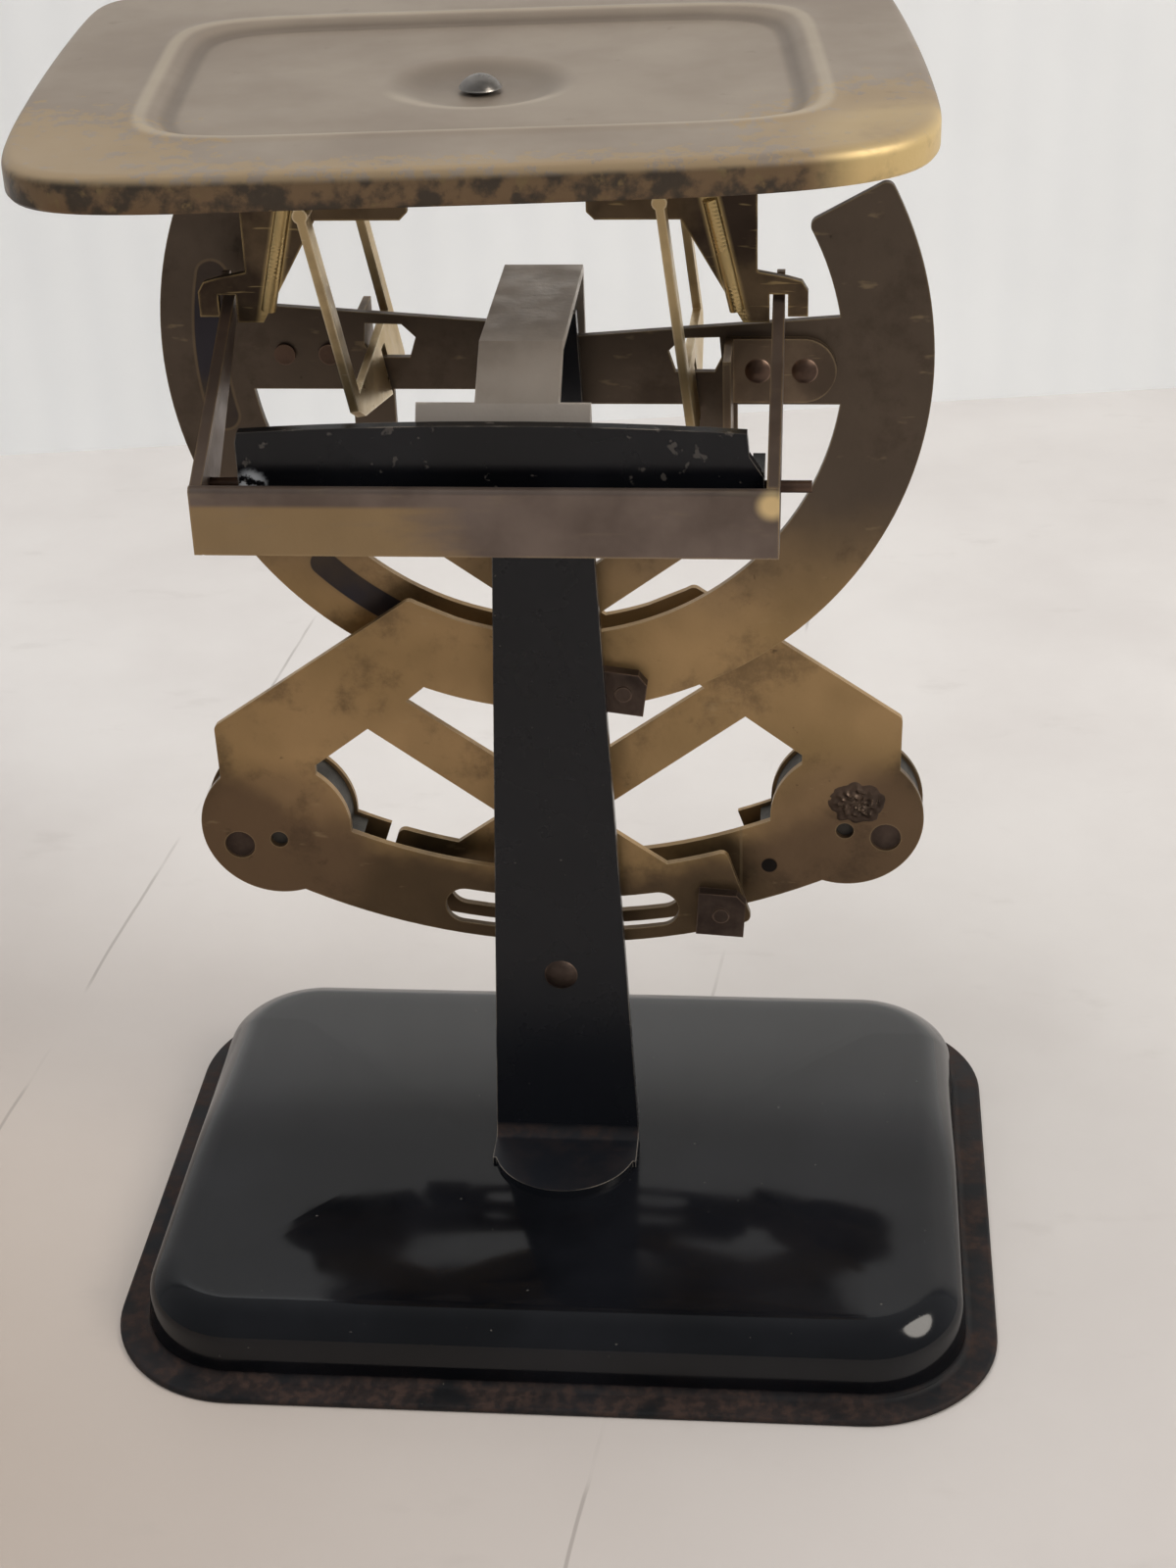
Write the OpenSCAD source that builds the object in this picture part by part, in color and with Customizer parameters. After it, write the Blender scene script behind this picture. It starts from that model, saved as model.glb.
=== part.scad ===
// Two-sector postal scale, seen from its back in -Y, standing on the plane Z = 0.
// The origin is on the table, in the middle of the whole scale with its pan. All sizes are in
// millimetres, and each module is drawn about the middle of the base.

/* [Base] */
// Width of the base over its flange
base_w = 99.6; // [80:1:130]
// Depth of the base over its flange
base_d = 75.6; // [60:1:100]
// Height of the raised top of the base
base_h = 9.3; // [6:0.5:14]
// Corner radius of the flange
base_corner = 15; // [8:0.5:22]
// Width of the flat flange
flange_w = 3.5; // [2:0.1:6]
// Radius of the pressed shoulder
shoulder_r = 4.4; // [3:0.5:7]
// Sheet thickness of the base
base_t = 0.8; // [0.5:0.1:1.5]

/* [Column] */
// Width of the column at its foot
column_foot_w = 16.8; // [12:0.1:22]
// Width of the column under the bridge
column_top_w = 8.6; // [6:0.1:12]
// Thickness of the column strip
column_t = 1.2; // [0.8:0.1:2]
// Distance from the base middle back to the column's back face
column_back = 1.6; // [0:0.1:6]
// Reach of the foot tab towards the back
foot_reach = 10.6; // [8:0.1:16]
// Inner radius of the foot bend
foot_bend = 1.2; // [0.6:0.1:2.5]

/* [Bridge and crosspiece] */
// Height of the bridge's top face
bridge_z = 113.4; // [105:0.1:125]
// Width of the bridge strip
bridge_w = 8.1; // [6:0.1:12]
// Width of the bridge's flared back end
shoulder_w = 16.8; // [12:0.1:24]
// Thickness of the bridge strip
bridge_t = 1; // [0.8:0.1:1.6]
// Distance from the base middle to the front face of the index plate
index_y = 10.8; // [10.4:0.1:14]
// Height of the index plate's pointer tip
index_tip_z = 77; // [74:0.5:90]
// Distance from the base middle back to the crosspiece's front face
cross_back = 18.5; // [16:0.1:24]
// Half width of the crosspiece
cross_half = 25.3; // [20:0.1:30]
// Offset of the crosspiece to the left
cross_shift = -1.8; // [-3:0.1:3]
// Height of the crosspiece plate
cross_h = 10; // [7:0.1:14]
// Rise of the arched top edge
cross_arch = 0.8; // [0.2:0.1:2]
// Thickness of the crosspiece
cross_t = 1.2; // [0.8:0.1:1.8]
// Length of the crosspiece's end ears
ear_l = 4; // [3:0.1:6]

/* [Guide frame] */
// Radius of the guide pin
guide_pin_r = 0.6; // [0.4:0.05:1]
// Half length of the guide pin
guide_pin_half = 29.8; // [29:0.1:34]
// Height of the guide pin
guide_pin_z = 100.4; // [96:0.1:104]
// Half width of the guide frame over its arms
guide_half = 28.2; // [28:0.1:30]
// Sheet thickness of the guide frame
guide_t = 0.8; // [0.5:0.1:1.2]
// Height of the frame's back bar
guide_bar_h = 6.4; // [5:0.1:9]
// Width of the folded top of the arms
guide_fold_w = 1.2; // [1:0.1:2]
// Height of an arm at its tip
guide_tip_h = 3.2; // [2:0.1:5]
// Height of the upturned end of an arm
guide_prong_h = 2.2; // [1:0.1:4]

/* [Sectors] */
// Height of the fulcrum
fulcrum_z = 105.6; // [100:0.1:112]
// Radius of the fulcrum pin
fulcrum_r = 1.25; // [0.8:0.05:2]
// Distance from the base middle to the plane midway between the sectors
mid_y = 4.6; // [4.2:0.1:5]
// Gap between the two sector plates
sector_gap = 3.2; // [2.8:0.1:4]
// Thickness of a sector plate
sector_t = 0.8; // [0.5:0.1:1.2]
// Outer radius of the upper ring
ring_outer = 40; // [36:0.1:44]
// Inner radius of the upper ring
ring_inner = 30.9; // [28:0.1:33]
// Angle of the ring's free end above the horizontal
ring_end = 28.5; // [15:0.5:35]
// Outer radius of the lower band
band_outer = 70.3; // [68:0.1:72]
// Inner radius of the lower band
band_inner = 60.8; // [58:0.1:63]
// Angle of the band's free end past the vertical
band_end = 18; // [14:0.5:24]
// Radius of the rounded corners of a sector plate
sector_round = 0.9; // [0.3:0.1:1.4]
// Width of the long slot in the lower band
slot_w = 4.5; // [3:0.1:5.5]
// Half angle of the long slot
slot_half = 9.6; // [5:0.2:11]
// Radius of the weight at the lobe
weight_r = 8.6; // [7:0.1:10]
// Thickness of the weight
weight_t = 3.7; // [2:0.1:4.2]
// Thickness of the weight's cover plate
cover_t = 0.6; // [0.4:0.1:1]
// Radius of the sector's bush
bush_r = 2.4; // [2:0.1:4]

/* [Load linkage] */
// Distance of a load hole from the fulcrum's axis
load_arm = 16; // [15.5:0.1:18]
// Depth of the load hole's lowest point below the fulcrum
load_drop = 0.8; // [0.4:0.1:1.6]
// Thickness of a load bracket
bracket_t = 0.8; // [0.5:0.1:1]
// Outer end of the load bracket, from the fulcrum's axis
bracket_end = 30.2; // [28:0.1:31]
// Height of the load bracket
bracket_h = 6.8; // [5:0.1:7.4]
// Length of the bracket's bent flange
bracket_flange = 7.2; // [5:0.1:8]
// Offset of the yoke, the pan and the guide frame to the left
load_shift = -3.2; // [-4:0.1:0]
// Height of the hanger's pivot
hanger_z = 125; // [122:0.1:128]
// Distance from the yoke's middle to a hanger's pivot
hanger_pivot = 17; // [15:0.1:20]
// Reach of a hanger's longer side from the plane midway between the sectors
hanger_long = 14.5; // [12:0.1:16]
// Reach of a hanger's shorter side
hanger_short = 10.8; // [9:0.1:12]
// Sheet thickness of a hanger
hanger_t = 0.9; // [0.6:0.1:1.2]
// Width of a hanger leg
hanger_leg = 2.2; // [1.4:0.1:3]
// Radius of a hanger's pivot rod
hanger_rod_r = 0.75; // [0.5:0.05:1]

/* [Yoke and pan] */
// Half width of the yoke
yoke_half = 25.5; // [23:0.1:26.4]
// Distance between the middles of the yoke's flanges
yoke_span = 10.8; // [9:0.1:12]
// Sheet thickness of the yoke
yoke_t = 0.8; // [0.6:0.1:1.2]
// Height of the lower edge of the yoke's flanges
yoke_low_z = 121.8; // [119:0.1:123.5]
// Half width of the gap in the flanges over the bridge
yoke_gap = 8.8; // [8:0.1:11]
// Height of the yoke legs' lower ends
leg_low_z = 111.3; // [110:0.1:114]
// Height of the pan's top face
pan_z = 135; // [130:0.1:145]
// Width of the pan
pan_w = 86; // [70:0.5:88]
// Depth of the pan
pan_d = 67; // [45:0.5:70]
// Corner radius of the pan
pan_corner = 10; // [6:0.5:14]
// Outward bow of the pan's sides
pan_bow = 1.5; // [0.4:0.1:2]
// Depth of the pan's rim
pan_rim = 3.5; // [2:0.1:5]
// Sheet thickness of the pan
pan_t = 0.8; // [0.5:0.1:1.2]
// Turn of the pan on its rivet
pan_turn = 5; // [0:0.5:6]
// Offset of the pan's rivet from the yoke's middle, to the left
pan_shift = -1.7; // [-3:0.1:0]
// Offset of the pan's middle from its rivet, to the front
pan_off_y = 2; // [-2:0.1:3]
// Width of the pan's recess
recess_w = 61; // [50:0.5:66]
// Depth of the pan's recess across
recess_d = 41; // [28:0.5:42]
// Sink of the recess
recess_sink = 0.5; // [0.3:0.05:0.7]
// Sink of the dimple under the rivet
dimple_sink = 1.7; // [1:0.1:2.4]
// Radius of the dimple
dimple_r = 8; // [5:0.5:10]

/* [Small parts and fits] */
// Radius of the head of the column's rivet
index_rivet_r = 1.9; // [1.2:0.1:2.6]
// Height of the column's rivet
index_rivet_z = 33.3; // [31:0.1:34]
// Side of the larger square nut
nut_large = 5.4; // [4:0.1:6.5]
// Side of the smaller square nut
nut_small = 4.9; // [3:0.1:6]
// Thickness of the square nuts
nut_t = 1.4; // [0.8:0.1:1.5]
// Running clearance of a pin in its hole
run_gap = 0.06; // [0.02:0.01:0.1]
// Clearance of a pressed or riveted piece
seat_gap = 0.02; // [0.01:0.01:0.03]
// Free clearance between neighbouring pieces
free_gap = 0.3; // [0.2:0.05:0.4]

/* [Hidden] */

black = "#14171a";
old_brass = "#8a7648";
dark_brass = "#5d5040";
grey_steel = "#6f6a64";
dark_steel = "#4a4038";
copper = "#7a4a35";
lead = "#55524d";
cut = 1;
round_fn = 64;
blend_fn = 32;

base_shift = -2.15;
column_front = column_t - column_back;
wall_lean = 0.4;
shoulder_shift = -1.3;
column_taper = (column_foot_w - column_top_w) / 2 / (bridge_z - bridge_t - base_h);
near_mid = mid_y - sector_gap / 2 - sector_t / 2;
near_back = near_mid - sector_t / 2;
index_back = index_y - bridge_t;
bush_flange = 0.7;
bush_flange_r = bush_r + 0.8;
cross_top = guide_pin_z + 6.6;
cross_bottom = cross_top - cross_h;
ear_y = -cross_back + ear_l / 2;
guide_back = cross_back + cross_t + guide_t + 2.3;
guide_top = guide_pin_z + 1.6;
guide_bottom = guide_top - guide_bar_h;
arm_tip_y = mid_y - yoke_span / 2 + 0.9;
arm_tip_z = leg_low_z + 2.6;
leg_y = mid_y - yoke_span / 2;
notch_z = fulcrum_z - load_drop + 1;
hanger_shift = -3.9;
left_foot = -17.2;
right_foot = 15.4;
flange_low = fulcrum_z - 7;
web_top = pan_z - pan_t - dimple_sink;
rivet_shank = 1.1;
index_t = 0.8;
index_arm_w = 5;
index_arm_z = fulcrum_z - band_outer - 5.4;
ring_corner = 240;
bar_low = 4.3;
bar_high = 5.1;
bar_neck = 3;
hub_r = 3.7;
member_x = 15.8;
member_w = 4.4;
lobe_x = -32.2;
lobe_z = fulcrum_z - 55.6;
weight_from = 27;
weight_to = 21.5;
cover_to = 19;
weight_inset = 0.4;
weight_pin_r = 1.7;
pin_recess = 0.3;
weight_pin_x = lobe_x - 4.4;
weight_pin_z = lobe_z - 2.4;
bracket_rivet_r = 0.7;
bracket_inner = 19.8;
bracket_mid = fulcrum_z - 0.4;
bracket_holes = [22.3, 27];
bolt_r = 0.9;
nut_places = [[18.2, fulcrum_z - 65.4], [7.8, fulcrum_z - 37.2]];

// Moves a piece from the base's middle to its place about the whole scale's middle.
module placed() {
    translate([0, base_shift, 0]) children();
}

// Turns a sector's own piece half a turn about the upright line between the sectors.
module far_side() {
    translate([0, mid_y, 0]) rotate([0, 0, 180]) translate([0, -mid_y, 0]) children();
}

// Moves a lobe's own piece from the near sector to the far one, on the same side of its plate.
module far_lobe() {
    translate([0, sector_gap + sector_t, 0]) mirror([1, 0, 0]) children();
}

// Extrudes an outline drawn in X and Z from a back face at y over a thickness t.
module upright(y, t) {
    translate([0, y + t, 0]) rotate([90, 0, 0]) linear_extrude(t) children();
}

// Extrudes an outline drawn in Y and Z from x over a width w.
module sideways(x, w) {
    translate([x, 0, 0]) rotate([90, 0, 90]) linear_extrude(w) children();
}

// A round bar along Y.
module bar_y(r, y, l, x = 0, z = 0) {
    translate([x, y + l, z]) rotate([90, 0, 0]) cylinder(h = l, r = r, $fn = round_fn);
}

// A round bar along X.
module bar_x(r, x, l, y = 0, z = 0) {
    translate([x, y, z]) rotate([0, 90, 0]) cylinder(h = l, r = r, $fn = round_fn);
}

// A low domed head whose flat side faces +Y.
module dome_back(r, h, x, y, z) {
    ball = (r * r + h * h) / 2 / h;
    intersection() {
        translate([x, y - h + ball, z]) sphere(r = ball, $fn = round_fn);
        bar_y(r + cut, y - h - cut, h + cut, x, z);
    }
}

// A rectangle with round corners, one outline of the base.
module round_rect(w, d, r) {
    for (x = [-1, 1], y = [-1, 1]) translate([x * (w / 2 - r), y * (d / 2 - r)]) circle(r = r, $fn = round_fn);
    square([w - 2 * r, d], center = true);
    square([w, d - 2 * r], center = true);
}

// The convex pressed body of the base, shrunk all round by a wall.
module base_body(wall) {
    hull() {
        for (a = [0:10:90]) {
            inset = flange_w + wall_lean + wall + (shoulder_r - wall) * (1 - cos(a));
            z = base_h - shoulder_r + (shoulder_r - wall) * sin(a);
            slice(inset, z);
        }
        slice(flange_w + wall, wall > 0 ? -cut : 0);
    }
}

// A thin slice of the base's outline.
module slice(inset, z) {
    skin = 0.01;
    corner = max(base_corner - inset, 1);
    for (x = [-1, 1], y = [-1, 1])
        translate([x * (base_w / 2 - inset - corner), y * (base_d / 2 - inset - corner), z - skin])
            cylinder(h = skin, r = corner, $fn = blend_fn);
}

module base_shell() {
    color(black) difference() {
        union() {
            linear_extrude(base_t) round_rect(base_w, base_d, base_corner);
            base_body(0);
        }
        base_body(base_t);
    }
}

module column() {
    foot_top = base_h + column_t;
    color(black) difference() {
        union() {
            upright(-column_back, column_t) polygon([
                [-column_foot_w / 2, foot_top + foot_bend], [column_foot_w / 2, foot_top + foot_bend],
                [column_top_w / 2, bridge_z - bridge_t], [-column_top_w / 2, bridge_z - bridge_t]]);
            sideways(-column_foot_w / 2, column_foot_w) intersection() {
                translate([-column_back - foot_bend, foot_top + foot_bend]) difference() {
                    circle(r = foot_bend + column_t, $fn = round_fn);
                    circle(r = foot_bend, $fn = round_fn);
                }
                translate([-column_back - foot_bend, base_h]) square([foot_bend + column_t, foot_bend + column_t]);
            }
            translate([0, 0, base_h]) linear_extrude(column_t) {
                translate([-column_foot_w / 2, -column_back - foot_reach + column_foot_w * 0.35])
                    square([column_foot_w, foot_reach - column_foot_w * 0.35 - foot_bend]);
                intersection() {
                    translate([0, -column_back - foot_reach + column_foot_w * 0.5])
                        circle(r = column_foot_w / 2, $fn = round_fn);
                    translate([-column_foot_w / 2, -column_back - foot_reach])
                        square([column_foot_w, foot_reach - foot_bend]);
                }
            }
        }
        bar_y(fulcrum_r + seat_gap, -column_back - cut, column_t + 2 * cut, 0, fulcrum_z);
        bar_y(index_rivet_r / 2 + seat_gap, -column_back - cut, column_t + 2 * cut, 0, index_rivet_z);
    }
}

module index_rivet() {
    color(dark_steel) {
        dome_back(index_rivet_r, 0.8, 0, -column_back, index_rivet_z);
        bar_y(index_rivet_r / 2, -column_back, column_t + index_t, 0, index_rivet_z);
        bar_y(index_rivet_r * 0.8, column_front + index_t, 0.5, 0, index_rivet_z);
    }
}

// Bracket that passes under the sectors and stands up as the lower pointer.
module lower_index() {
    back = column_front;
    front = index_y + 0.6;
    color(dark_steel) difference() {
        union() {
            upright(back, index_t) translate([-index_arm_w / 2, index_arm_z])
                square([index_arm_w, index_rivet_z - index_arm_z + index_rivet_r]);
            translate([-index_arm_w / 2, back, index_arm_z]) cube([index_arm_w, front - back, index_t]);
            upright(front - index_t, index_t) polygon([[-index_arm_w / 2, index_arm_z],
                [index_arm_w / 2, index_arm_z], [index_arm_w / 2, fulcrum_z - band_outer - 1],
                [0, fulcrum_z - band_outer + 5], [-index_arm_w / 2, fulcrum_z - band_outer - 1]]);
        }
        bar_y(index_rivet_r / 2 + seat_gap, back - cut, index_t + 2 * cut, 0, index_rivet_z);
    }
}

// Outline in Y and Z of the bridge strip, from the index plate to the flared end.
module bridge_side() {
    drop = 4.2;
    knee = -cross_back + 6.5;
    tab = -cross_back;
    low = guide_pin_z + 1;
    polygon([
        [index_back, fulcrum_z - 8], [index_y, fulcrum_z - 8], [index_y, bridge_z - 0.6],
        [index_y - 0.6, bridge_z], [knee, bridge_z], [tab + 1, bridge_z - drop],
        [tab, bridge_z - drop - 1.6], [tab, low], [tab + bridge_t, low],
        [tab + bridge_t, bridge_z - drop - 1.9], [tab + 1.8, bridge_z - drop - 0.8],
        [knee + 0.2, bridge_z - bridge_t], [index_back, bridge_z - bridge_t]]);
}

module bridge() {
    flare = -cross_back + 1.1;
    color(grey_steel) difference() {
        union() {
            sideways(-bridge_w / 2, bridge_w) bridge_side();
            intersection() {
                sideways(shoulder_shift - shoulder_w / 2, shoulder_w) bridge_side();
                translate([shoulder_shift - shoulder_w / 2, -cross_back - cut, 0])
                    cube([shoulder_w, flare + cross_back + cut, bridge_z]);
            }
            upright(index_back, bridge_t) polygon([[-bridge_w / 2, fulcrum_z - 6],
                [bridge_w / 2, fulcrum_z - 6], [bridge_w / 2, fulcrum_z - 9],
                [1.2, fulcrum_z - 13], [0.8, index_tip_z + 1], [0, index_tip_z],
                [-0.8, index_tip_z + 1], [-1.2, fulcrum_z - 13], [-bridge_w / 2, fulcrum_z - 9]]);
        }
        bar_y(fulcrum_r + seat_gap, index_back - cut, bridge_t + 2 * cut, 0, fulcrum_z);
    }
}

module crosspiece() {
    arch_r = (cross_half * cross_half + cross_arch * cross_arch) / 2 / cross_arch;
    color(black) translate([cross_shift, 0, 0]) difference() {
        union() {
            upright(-cross_back - cross_t, cross_t) intersection() {
                translate([0, cross_top + cross_arch - arch_r]) circle(r = arch_r, $fn = 8 * round_fn);
                polygon([[-cross_half, cross_bottom], [cross_half, cross_bottom],
                    [cross_half, cross_top - 4.4], [cross_half - 1.4, cross_top - 2.2],
                    [cross_half - 1.8, cross_top + 2], [-cross_half + 0.8, cross_top + 2],
                    [-cross_half, cross_top - 1]]);
            }
            for (side = [-1, 1]) translate([side * (cross_half - cross_t / 2), 0, 0])
                sideways(-cross_t / 2, cross_t) translate([-cross_back - cut / 2, guide_pin_z - 2.6])
                    square([ear_l + cut / 2, 5.2]);
        }
        bar_x(guide_pin_r + seat_gap, -cross_half - cut, 2 * cross_half + 2 * cut, ear_y, guide_pin_z);
    }
}

module guide_pin() {
    color(copper) bar_x(guide_pin_r, cross_shift - guide_pin_half, 2 * guide_pin_half, ear_y, guide_pin_z);
}

module fulcrum_pin() {
    color(dark_steel) {
        bar_y(fulcrum_r, -column_back, column_back + index_y + 2, 0, fulcrum_z);
        dome_back(fulcrum_r + 0.9, 0.8, 0, -column_back, fulcrum_z);
    }
}

module fulcrum_nut() {
    color(dark_steel) difference() {
        translate([0, index_y + 1.6, fulcrum_z]) rotate([90, 30, 0]) cylinder(h = 1.6, r = 2.9, $fn = 6);
        bar_y(fulcrum_r + seat_gap, index_y - cut, 1.6 + 2 * cut, 0, fulcrum_z);
    }
}

// One arm of the guide frame at the right-hand side, with its folded top and upturned end.
module guide_arm() {
    back = -guide_back;
    fold = [[back, guide_top - guide_t], [back, guide_top], [arm_tip_y, arm_tip_z],
        [arm_tip_y, arm_tip_z - guide_t]];
    wall = [[back, guide_bottom], [back, guide_top], [arm_tip_y, arm_tip_z],
        [arm_tip_y, arm_tip_z + guide_prong_h], [arm_tip_y + 0.7, arm_tip_z + guide_prong_h],
        [arm_tip_y + 1.1, arm_tip_z], [arm_tip_y + 1.1, arm_tip_z - guide_tip_h],
        [ear_y, guide_bottom + 0.8], [ear_y - 2, guide_bottom]];
    sideways(guide_half - guide_t, guide_t) polygon(wall);
    sideways(guide_half - guide_fold_w, guide_fold_w) polygon(fold);
}

module guide_frame() {
    color(old_brass) translate([load_shift, 0, 0]) difference() {
        union() {
            guide_arm();
            mirror([1, 0, 0]) guide_arm();
            upright(-guide_back, guide_t) {
                translate([-guide_half + 1.2, guide_bottom]) square([2 * guide_half - 2.4, guide_bar_h]);
                translate([-guide_half, guide_bottom + 1.2]) square([2 * guide_half, guide_bar_h - 1.2]);
                for (side = [-1, 1]) translate([side * (guide_half - 1.2), guide_bottom + 1.2])
                    circle(r = 1.2, $fn = round_fn);
            }
            bar_x(guide_t * 0.75, -guide_half, 2 * guide_half, -guide_back + guide_t * 0.75, guide_top);
        }
        bar_x(guide_pin_r + run_gap, -guide_half - cut, 2 * guide_half + 2 * cut, ear_y, guide_pin_z);
    }
}

// A flat arc band about the fulcrum between two angles, as an outline in X and Z.
module arc_band(r_in, r_out, from, to) {
    reach = r_out * 1.5;
    steps = ceil((to - from) / 30);
    intersection() {
        translate([0, fulcrum_z]) difference() {
            circle(r = r_out, $fn = 3 * round_fn);
            circle(r = r_in, $fn = 3 * round_fn);
        }
        translate([0, fulcrum_z]) polygon(concat([[0, 0]],
            [for (i = [0:steps]) let (a = from + (to - from) * i / steps) reach * [cos(a), sin(a)]]));
    }
}

// Outline of a sector plate with sharp corners, its ring to the right.
module sector_sharp() {
    member_out = member_x + member_w;
    knee_out = -17.4;
    knee_in = -14.6;
    arc_band(ring_inner, ring_outer, ring_corner, 360 + ring_end);
    arc_band(band_inner, band_outer, 270 - 28, 270 + band_end);
    translate([0, fulcrum_z]) {
        circle(r = hub_r, $fn = round_fn);
        polygon([[0, -bar_low], [ring_inner + 1, -bar_low], [ring_inner + 1, bar_high], [4, bar_neck],
            [0, hub_r - 0.4]]);
        polygon([[member_x, -bar_low + cut], [member_out, -bar_low + cut], [member_out, knee_out],
            [1.5, -ring_inner - 0.1], [0, -ring_inner - 1.6], [-6.2, -ring_inner + 0.1], [member_x, knee_in]]);
        polygon([[-15.4, -26.9], [-38.1, -42.7], [-38, -50.2], [-36, -56], [-27.1, -55.6], [-27.1, -47.5],
            [-20.8, -42.7], [-16.3, -39.2], [-14.2, -37.4], [-8, -36], [-4, -ring_inner - 1]]);
        polygon([[-20.8, -42.7], [-16.3, -39.2], [12.4, -59.8], [6, -62.6]]);
    }
    translate([lobe_x, lobe_z]) circle(r = weight_r, $fn = 2 * round_fn);
}

// Outline of a sector plate with its outer and inner corners rounded.
module sector_outline() {
    offset(r = sector_round, $fn = blend_fn) offset(delta = -2 * sector_round)
        offset(r = sector_round, $fn = blend_fn) sector_sharp();
}

module near_plate() {
    slot_mid = (band_inner + band_outer) / 2 + 1;
    color(old_brass) difference() {
        upright(near_back, sector_t) sector_outline();
        bar_y(bush_r + seat_gap, near_back - cut, sector_t + 2 * cut, 0, fulcrum_z);
        upright(near_back - cut, sector_t + 2 * cut) {
            arc_band(slot_mid - slot_w / 2, slot_mid + slot_w / 2, 270 - slot_half, 270 + slot_half);
            for (side = [-1, 1]) translate([slot_mid * sin(side * slot_half),
                fulcrum_z - slot_mid * cos(slot_half)]) circle(r = slot_w / 2, $fn = round_fn);
            translate([load_arm, fulcrum_z]) polygon([[-2.8, 1.4], [-1.4, 2.8], [2.4, 2.9], [2.6, 0.6],
                [1.9, -load_drop], [-2.1, -load_drop]]);
        }
        bar_y(weight_pin_r + seat_gap, near_back - cut, sector_t + 2 * cut, weight_pin_x, weight_pin_z);
        bar_y(1, near_back - cut, sector_t + 2 * cut, lobe_x + 0.2, lobe_z - 1.6);
        for (p = bracket_holes) bar_y(bracket_rivet_r + seat_gap, near_back - cut, sector_t + 2 * cut, p, bracket_mid);
        for (p = nut_places) bar_y(bolt_r + seat_gap, near_back - cut, sector_t + 2 * cut, p[0], p[1]);
    }
}

module near_bush() {
    start = column_front + free_gap;
    color(dark_brass) difference() {
        union() {
            bar_y(bush_r, start, mid_y - free_gap / 2 - start, 0, fulcrum_z);
            bar_y(bush_flange_r, near_back - bush_flange, bush_flange, 0, fulcrum_z);
        }
        bar_y(fulcrum_r + run_gap, start - cut, mid_y + 2 * cut - start, 0, fulcrum_z);
    }
}

// Outline of the weight: the lobe with a tail along the lower band, up to an angle.
module weight_outline(shrink, tail) {
    translate([lobe_x, lobe_z]) circle(r = weight_r - shrink, $fn = 2 * round_fn);
    arc_band(band_inner + shrink, band_outer - shrink, 270 - weight_from, 270 - tail);
}

module near_weight() {
    color(lead) difference() {
        upright(near_back + sector_t, weight_t) weight_outline(weight_inset, weight_to);
        bar_y(weight_pin_r + seat_gap, near_back, weight_t + 2 * cut, weight_pin_x, weight_pin_z);
    }
}

module near_cover() {
    back = near_back + sector_t + weight_t;
    color(old_brass) difference() {
        upright(back, cover_t) weight_outline(0, cover_to);
        bar_y(weight_pin_r + seat_gap, back - cut, cover_t + 2 * cut, weight_pin_x, weight_pin_z);
    }
}

module near_rivet() {
    length = sector_t + weight_t + cover_t;
    color(dark_steel) {
        bar_y(weight_pin_r, near_back + pin_recess, length - pin_recess, weight_pin_x, weight_pin_z);
        bar_y(weight_pin_r * 1.4, near_back + length, 0.4, weight_pin_x, weight_pin_z);
    }
}

module near_bracket() {
    back = near_back - bracket_t;
    low = bracket_mid - bracket_h / 2;
    color(dark_brass) difference() {
        union() {
            upright(back, bracket_t) {
                translate([bracket_inner - bracket_t, low])
                    square([bracket_end - bracket_inner + bracket_t - bracket_h / 2, bracket_h]);
                translate([bracket_end - bracket_h / 2, bracket_mid]) circle(r = bracket_h / 2, $fn = round_fn);
            }
            translate([bracket_inner - bracket_t, near_back - bracket_flange, flange_low])
                cube([bracket_t, bracket_flange, bracket_mid + bracket_h / 2 - flange_low]);
        }
        for (p = bracket_holes) bar_y(bracket_rivet_r + seat_gap, back - cut, bracket_t + 2 * cut, p, bracket_mid);
    }
}

module near_bracket_rivets() {
    color(dark_steel) for (p = bracket_holes) {
        dome_back(bracket_rivet_r * 1.9, 0.5, p, near_back - bracket_t, bracket_mid);
        bar_y(bracket_rivet_r, near_back - bracket_t, bracket_t + sector_t, p, bracket_mid);
        bar_y(bracket_rivet_r * 1.6, near_back + sector_t, 0.4, p, bracket_mid);
    }
}

// A square nut with one corner cut, on the back of the plate.
module square_nut(side, x, z, turn) {
    color(dark_steel) difference() {
        translate([x, 0, z]) rotate([0, turn, 0]) upright(near_back - nut_t, nut_t)
            polygon([[-side / 2, -side / 2], [side / 2, -side / 2], [side / 2, side / 2 - 1.1],
                [side / 2 - 1.1, side / 2], [-side / 2, side / 2]]);
        bar_y(bolt_r + seat_gap, near_back - nut_t - cut, nut_t + 2 * cut, x, z);
    }
}

module near_nuts() {
    square_nut(nut_large, nut_places[0][0], nut_places[0][1], 4);
    square_nut(nut_small, nut_places[1][0], nut_places[1][1], 8);
}

module near_bolts() {
    color(dark_steel) for (p = nut_places) {
        bar_y(bolt_r, near_back - nut_t - 0.2, nut_t + sector_t + 0.2, p[0], p[1]);
        bar_y(bolt_r * 1.9, near_back + sector_t, 0.9, p[0], p[1]);
    }
}

// Outline in Y and Z of a hanger about its pivot, its longer side towards the back.
module hanger_side(length) {
    plate = (sector_gap + sector_t) / 2;
    near_in = -hanger_long + hanger_leg;
    far_in = hanger_short - hanger_leg;
    difference() {
        polygon([[-hanger_long, hanger_rod_r], [near_in, hanger_rod_r], [near_in, -length + 0.4],
            [far_in, -length + 1.6], [far_in, hanger_rod_r], [hanger_short, hanger_rod_r],
            [hanger_short, -length - 4], [hanger_short - 1.2, -length - 5.4], [plate, -length - 5.2],
            [near_in, -length - 2], [-hanger_long, -length - 0.6]]);
        translate([plate - 1.1, -length - 6]) square([2.2, 6]);
    }
}

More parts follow.
